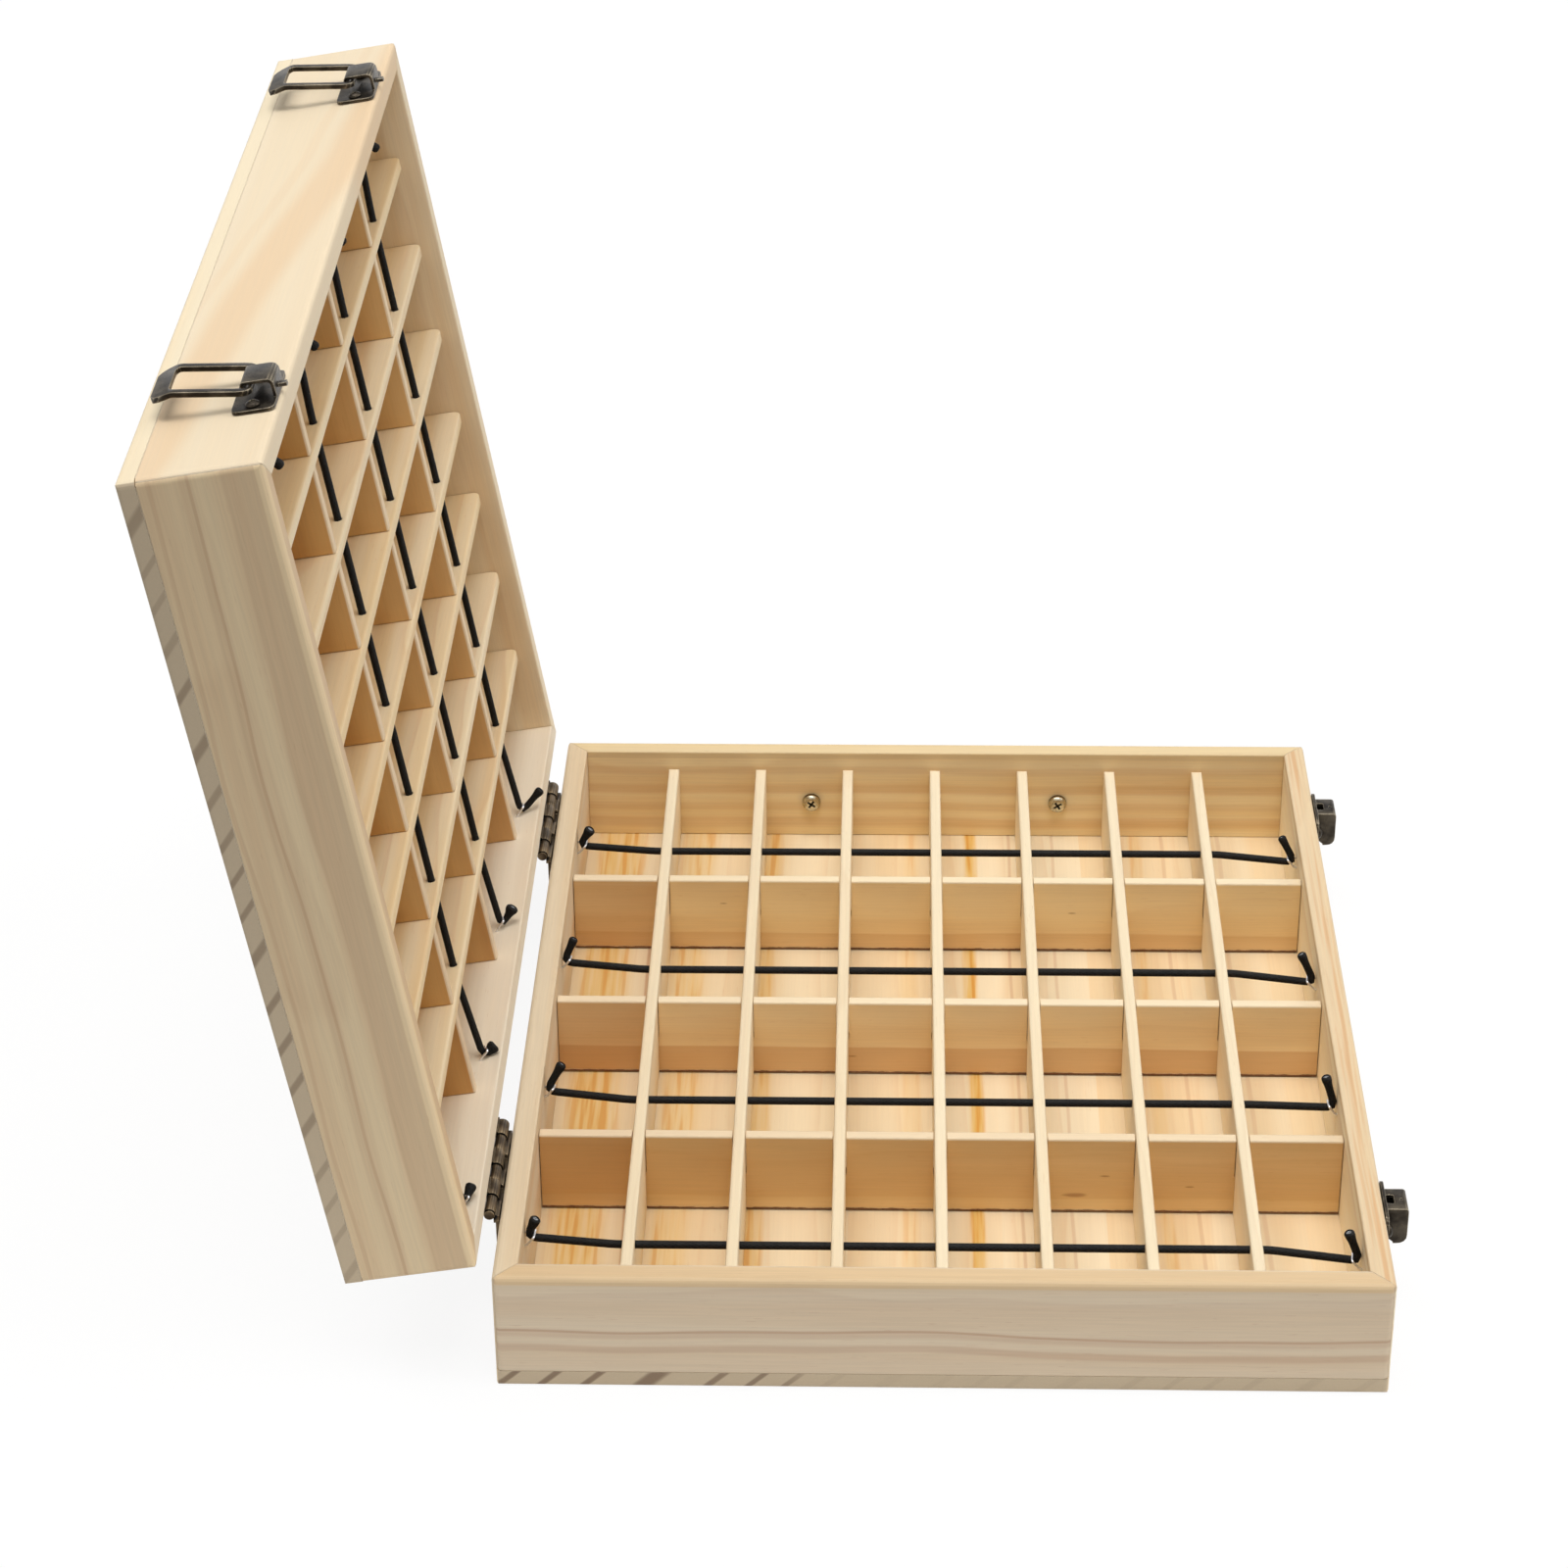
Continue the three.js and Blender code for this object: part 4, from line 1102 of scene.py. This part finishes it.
# Wood of each piece
WALL = Wood()
WALL_LOOKS = {
    "base_wall_near": replace(
        WALL, pale=srgb(230, 211, 183), warm=srgb(222, 194, 160), late=srgb(178, 128, 96),
        bands=0.4, grain=0.2, rim=srgb(224, 191, 143), rim_from=194.5,
        wander=10.0, lines=((30.5, 0.9, 0.5), (29.5, 2.8, 0.22), (22.5, 2.4, 0.28)),
    ),
    "base_wall_far": replace(
        WALL, pale=srgb(252, 230, 184), warm=srgb(240, 206, 146), late=srgb(206, 150, 88),
        grain=0.2, bands=0.5, band_width=7.0,
        rim=srgb(228, 202, 156), rim_from=191.0,
        lines=((44.0, 2.8, 0.24), (34.0, 3.6, 0.3), (25.0, 2.8, 0.2), (16.5, 3.8, 0.3)),
    ),
    "base_wall_latch": replace(
        WALL, pale=srgb(254, 240, 208), warm=srgb(250, 228, 184), late=srgb(214, 152, 94),
        rim=srgb(223, 193, 151), rim_from=160.0,
        grain=0.35, ring=8.0, sway=12.0, pith=(20.0, 140.0),
        top_lines=((168.5, 1.6, 0.5), (166.0, 1.0, 0.32), (171.0, 0.8, 0.25)),
    ),
    "base_wall_hinge": replace(WALL, pale=srgb(232, 214, 184), grain=0.15),
    "lid_wall_latch": replace(
        WALL, pale=srgb(243, 225, 194), warm=srgb(241, 214, 174), late=srgb(232, 190, 142),
        grain=0.12, ring=14.0, bands=0.2, fibre=0.03, slant=0.13, wander=12.0,
        lines=((39.0, 13.0, 0.42), (22.0, 3.5, 0.14)),
    ),
    "lid_wall_near": replace(
        WALL, pale=srgb(238, 214, 174), warm=srgb(226, 194, 154), late=srgb(188, 145, 110),
        rim=srgb(250, 224, 180), bands=0.5, band_width=9.0, grain=0.15, wander=9.0,
        stripes=((40.0, 62.0, 0.26),),
        lines=((28.0, 1.0, 0.45), (27.0, 3.0, 0.22), (14.5, 1.2, 0.25)),
    ),
    "lid_wall_far": replace(WALL, pale=srgb(248, 230, 198), late=srgb(206, 160, 110), grain=0.3,
                            bands=0.5),
    "lid_wall_hinge": replace(WALL, pale=srgb(244, 230, 206), grain=0.1, bands=0.25, fibre=0.04),
}
DIVIDER = replace(WALL, pale=srgb(246, 228, 194), warm=srgb(238, 212, 168), grain=0.15,
                  bands=0.25, ring=5.0, pith=(10.0, -40.0), fibre=0.05, ease=0.6 * MM)
LID_DIVIDER = replace(DIVIDER, pale=srgb(244, 224, 188), warm=srgb(234, 198, 136), bands=0.5,
                      late=srgb(208, 150, 86), grain=0.35, ring=7.0)
# Cross dividers get a painted shadow beside the first column and a painted highlight along the top
CROSS = replace(DIVIDER, pale=srgb(250, 218, 162), warm=srgb(236, 196, 134), bands=0.4,
                late=srgb(196, 132, 70), band_width=14.0, lid_shadow=0.3,
                crown=CROSS_TOP, dark_foot=True)
CROSS_STREAKS = {
    "base_cross_divider_1": ((-94.0, 31.0, 0.5), (60.0, 27.0, 0.5)),
    "base_cross_divider_2": ((-36.0, 16.0, 0.5),),
    "base_cross_divider_3": ((54.0, 15.5, 1.3), (66.0, 25.0, 0.6), (100.0, 20.0, 0.5)),
}
CROSS_STRIPES = {
    "base_cross_divider_1": ((0.0, 18.0, 0.3),),
    "base_cross_divider_2": ((0.0, 22.5, 0.42),),
    "base_cross_divider_3": ((17.0, 60.0, 0.2),),
}
# Pale and warm tones of the base cross dividers, far row first: the far rows are painted paler and
# the near row darker, as painted light and shade
BASE_CROSS_SHADED_TONES = (
    (srgb(252, 224, 172), srgb(240, 204, 146)),
    (srgb(250, 220, 170), srgb(238, 200, 144)),
    (srgb(239, 204, 148), srgb(221, 180, 119)),
)
LID_CROSS_TONES = (
    (srgb(234, 192, 132), srgb(206, 152, 94)),
    (srgb(230, 186, 124), srgb(202, 146, 88)),
    (srgb(224, 176, 112), srgb(196, 138, 80)),
)
BOARD = Wood(pale=srgb(248, 232, 200), warm=srgb(242, 210, 160), late=srgb(220, 170, 116),
             grain=0.25, bands=0.45, band_width=20.0, ring=9.0, pith=(0.0, -25.0), sway=7.0,
             fibre=0.035)
BASE_AMBER = ((-142.0, 15.0, 0.8), (-106.0, 11.0, 0.6), (-72.0, 6.0, 0.7), (-8.0, 5.0, 0.3),
              (19.0, 4.0, 1.0), (95.0, 4.0, 0.35))
BASE_BROWN = ((-123.0, 1.3, 0.5), (37.0, 1.0, 0.3), (57.0, 1.0, 0.25), (108.0, 1.2, 0.25),
              (134.0, 1.4, 0.2))
LID_AMBER = ((-120.0, 8.0, 0.5), (24.0, 5.0, 0.6), (112.0, 7.0, 0.3))
LID_BROWN = ((-60.0, 1.5, 0.4), (70.0, 1.3, 0.4))


def paint(node, material):
    for slot in frame["nodes"][node].material_slots:
        slot.material = material


def paint_tray(tray):
    """Gives each wooden piece of a tray its own board."""
    for side in ("near", "latch", "far", "hinge"):
        node = f"{tray}_wall_{side}"
        run = "x" if side in ("near", "far") else "y"
        paint(node, wood(f"{node}_pine", tray, run, WALL_LOOKS[node], chance.uniform(0, 90)))
    for i in range(1, COLUMNS):
        node = f"{tray}_long_divider_{i}"
        look = {"base": DIVIDER, "lid": LID_DIVIDER}[tray]
        paint(node, wood(f"{node}_pine", tray, "y", look, chance.uniform(0, 90)))
    for i in range(1, ROWS):
        node = f"{tray}_cross_divider_{i}"
        pale, warm = {"base": BASE_CROSS_SHADED_TONES, "lid": LID_CROSS_TONES}[tray][i - 1]
        look = replace(CROSS, pale=pale, warm=warm, streaks=CROSS_STREAKS.get(node, ()),
                       stripes=CROSS_STRIPES.get(node, ()))
        pine = wood(f"{node}_pine", tray, "x", look, chance.uniform(0, 90))
        paint(node, pine)
        foot_strip(tray, i, pine)


for tray_name in TRAYS:
    paint_tray(tray_name)
paint("base_panel", glued_board("base_board", "base", BOARD, 11.0, BASE_AMBER, BASE_BROWN,
                                (0.85, -55.0)))
paint("lid_panel", glued_board("lid_board", "lid", BOARD, 43.0, LID_AMBER, LID_BROWN,
                               (0.6, 200.0)))

# The glue lines are painted pale, as painted light against the shade in the joints
LIT_SEAM_LOOKS = {
    "base": replace(WALL, pale=srgb(238, 216, 184), warm=srgb(230, 202, 164)),
    "lid": replace(WALL, pale=srgb(252, 238, 212), warm=srgb(248, 228, 196)),
}
for tray_name in TRAYS:
    glue_seams(tray_name)

# Cords and staples
STAPLE_STEEL = plated("staple_steel", srgb(235, 236, 240), 0.32)
CORD_MATERIALS = (braid("cord_braid"), cut_rubber("cord_end"))
for tray_name, forward, hinge_ends, latch_ends in (
    ("base", -1, BASE_HINGE_ENDS, BASE_LATCH_ENDS),
    ("lid", 1, LID_HINGE_ENDS, LID_LATCH_ENDS),
):
    for row, line in enumerate(cord_lines(forward)):
        cord(tray_name, row + 1, line, forward, hinge_ends[row], latch_ends[row], CORD_MATERIALS)

# Fittings
LATCH_BRONZE = bronze("latch_bronze_metal", srgb(40, 35, 30), srgb(78, 71, 61),
                      srgb(168, 156, 134), 0.34)
HINGE_TONES = (srgb(62, 51, 39), srgb(104, 88, 68), srgb(166, 146, 116))
PLATED = plated("screw_plate", srgb(196, 188, 164), 0.18, 1.5 * MM)
# Painted shade for the cross recesses of the screws
RECESS_SHADE = painted_recess_shade("screw_recess_shade")
BRONZE_SCREW = bronze("screw_bronze", srgb(80, 66, 48), srgb(130, 112, 84), srgb(190, 170, 132))

for place, sign in (("far", 1), ("near", -1)):
    hinge_end = sign * HINGE_PLACE + HINGE_SHIFT + HINGE_LENGTH / 2
    hinge_metal = bronze(f"hinge_{place}_metal", *HINGE_TONES, 0.36, hinge_end)
    for part in ("base_leaf", "lid_leaf", "pin"):
        dressed(f"hinge_{place}_{part}", hinge_metal, HINGE_EDGE)
    for part in ("plate", "ring", "catch"):
        dressed(f"latch_{place}_{part}", LATCH_BRONZE, LATCH_EDGE)
for node in ("handle_post_hinge", "handle_post_latch", "handle_bail"):
    dressed(node, LATCH_BRONZE, LATCH_EDGE)

# Screws: each profile, sides, the slots' length, width and depth, and the metal
LEAF_SCREW = cut_head("leaf_screw", domed(LEAF_SCREW_RADIUS, LEAF_SCREW_RISE), 32,
                      3.2 * MM, 0.75 * MM, 0.6 * MM, BRONZE_SCREW)
LATCH_SCREW = cut_head("latch_screw", domed(LATCH_SCREW_RADIUS, LATCH_SCREW_RISE), 32,
                       2.7 * MM, 0.7 * MM, 0.8 * MM, LATCH_BRONZE)
PAN_PROFILE = [
    (0, -16 * MM), (2 * MM, -16 * MM), (2 * MM, 0), (PAN_RADIUS, 0), (PAN_RADIUS, 1.3 * MM),
    (4.1 * MM, 1.8 * MM), (3.85 * MM, 2.25 * MM), (3.4 * MM, 2.62 * MM), (2.7 * MM, 2.86 * MM),
    (1.6 * MM, 2.97 * MM), (0, PAN_HEIGHT),
]
PAN_SCREW = cut_head("pan_screw", PAN_PROFILE, 40, 4.6 * MM, 1.05 * MM, 1.5 * MM, PLATED)

for place, sign in (("far", 1), ("near", -1)):
    for k in (-1, 0, 1):
        y = sign * HINGE_PLACE + HINGE_SHIFT + k * LEAF_SCREW_SPACING
        for body, side in (("base", -1), ("lid", 1)):
            spot = Vector((-LEAF_FACE, y, HINGE.z + side * LEAF_SCREW_DROP))
            place_screw(f"hinge_screw_{body}_{place}_{k + 2}", LEAF_SCREW, spot,
                        Vector((-1, 0, 0)), body, chance.uniform(0, 3))
    for number, k in ((1, -1), (2, 1)):
        y = sign * LATCH_PLACE + LATCH_SHIFT
        for part, body, spread, height in (
            ("catch", "base", CATCH_SCREW_SPREAD, TRAY_HEIGHT - CATCH_SCREW_DEPTH),
            ("plate", "lid", PLATE_SCREW_SPREAD, LID_RIM + PLATE_SCREW_DEPTH),
        ):
            spot = Vector((LATCH_FACE, y + k * spread, height))
            place_screw(f"{part}_screw_{place}_{number}", LATCH_SCREW, spot,
                        Vector((1, 0, 0)), body, chance.uniform(0, 3))
for place, sign in (("hinge", -1), ("latch", 1)):
    spot = Vector((sign * POST_SPREAD, INNER_DEPTH / 2 - SEAT_GAP, HANDLE_HEIGHT))
    screw = place_screw(f"handle_screw_{place}_fine", PAN_SCREW, spot, Vector((0, -1, 0)),
                        "base", 0.6 * sign)
    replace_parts(screw, f"handle_screw_{place}")
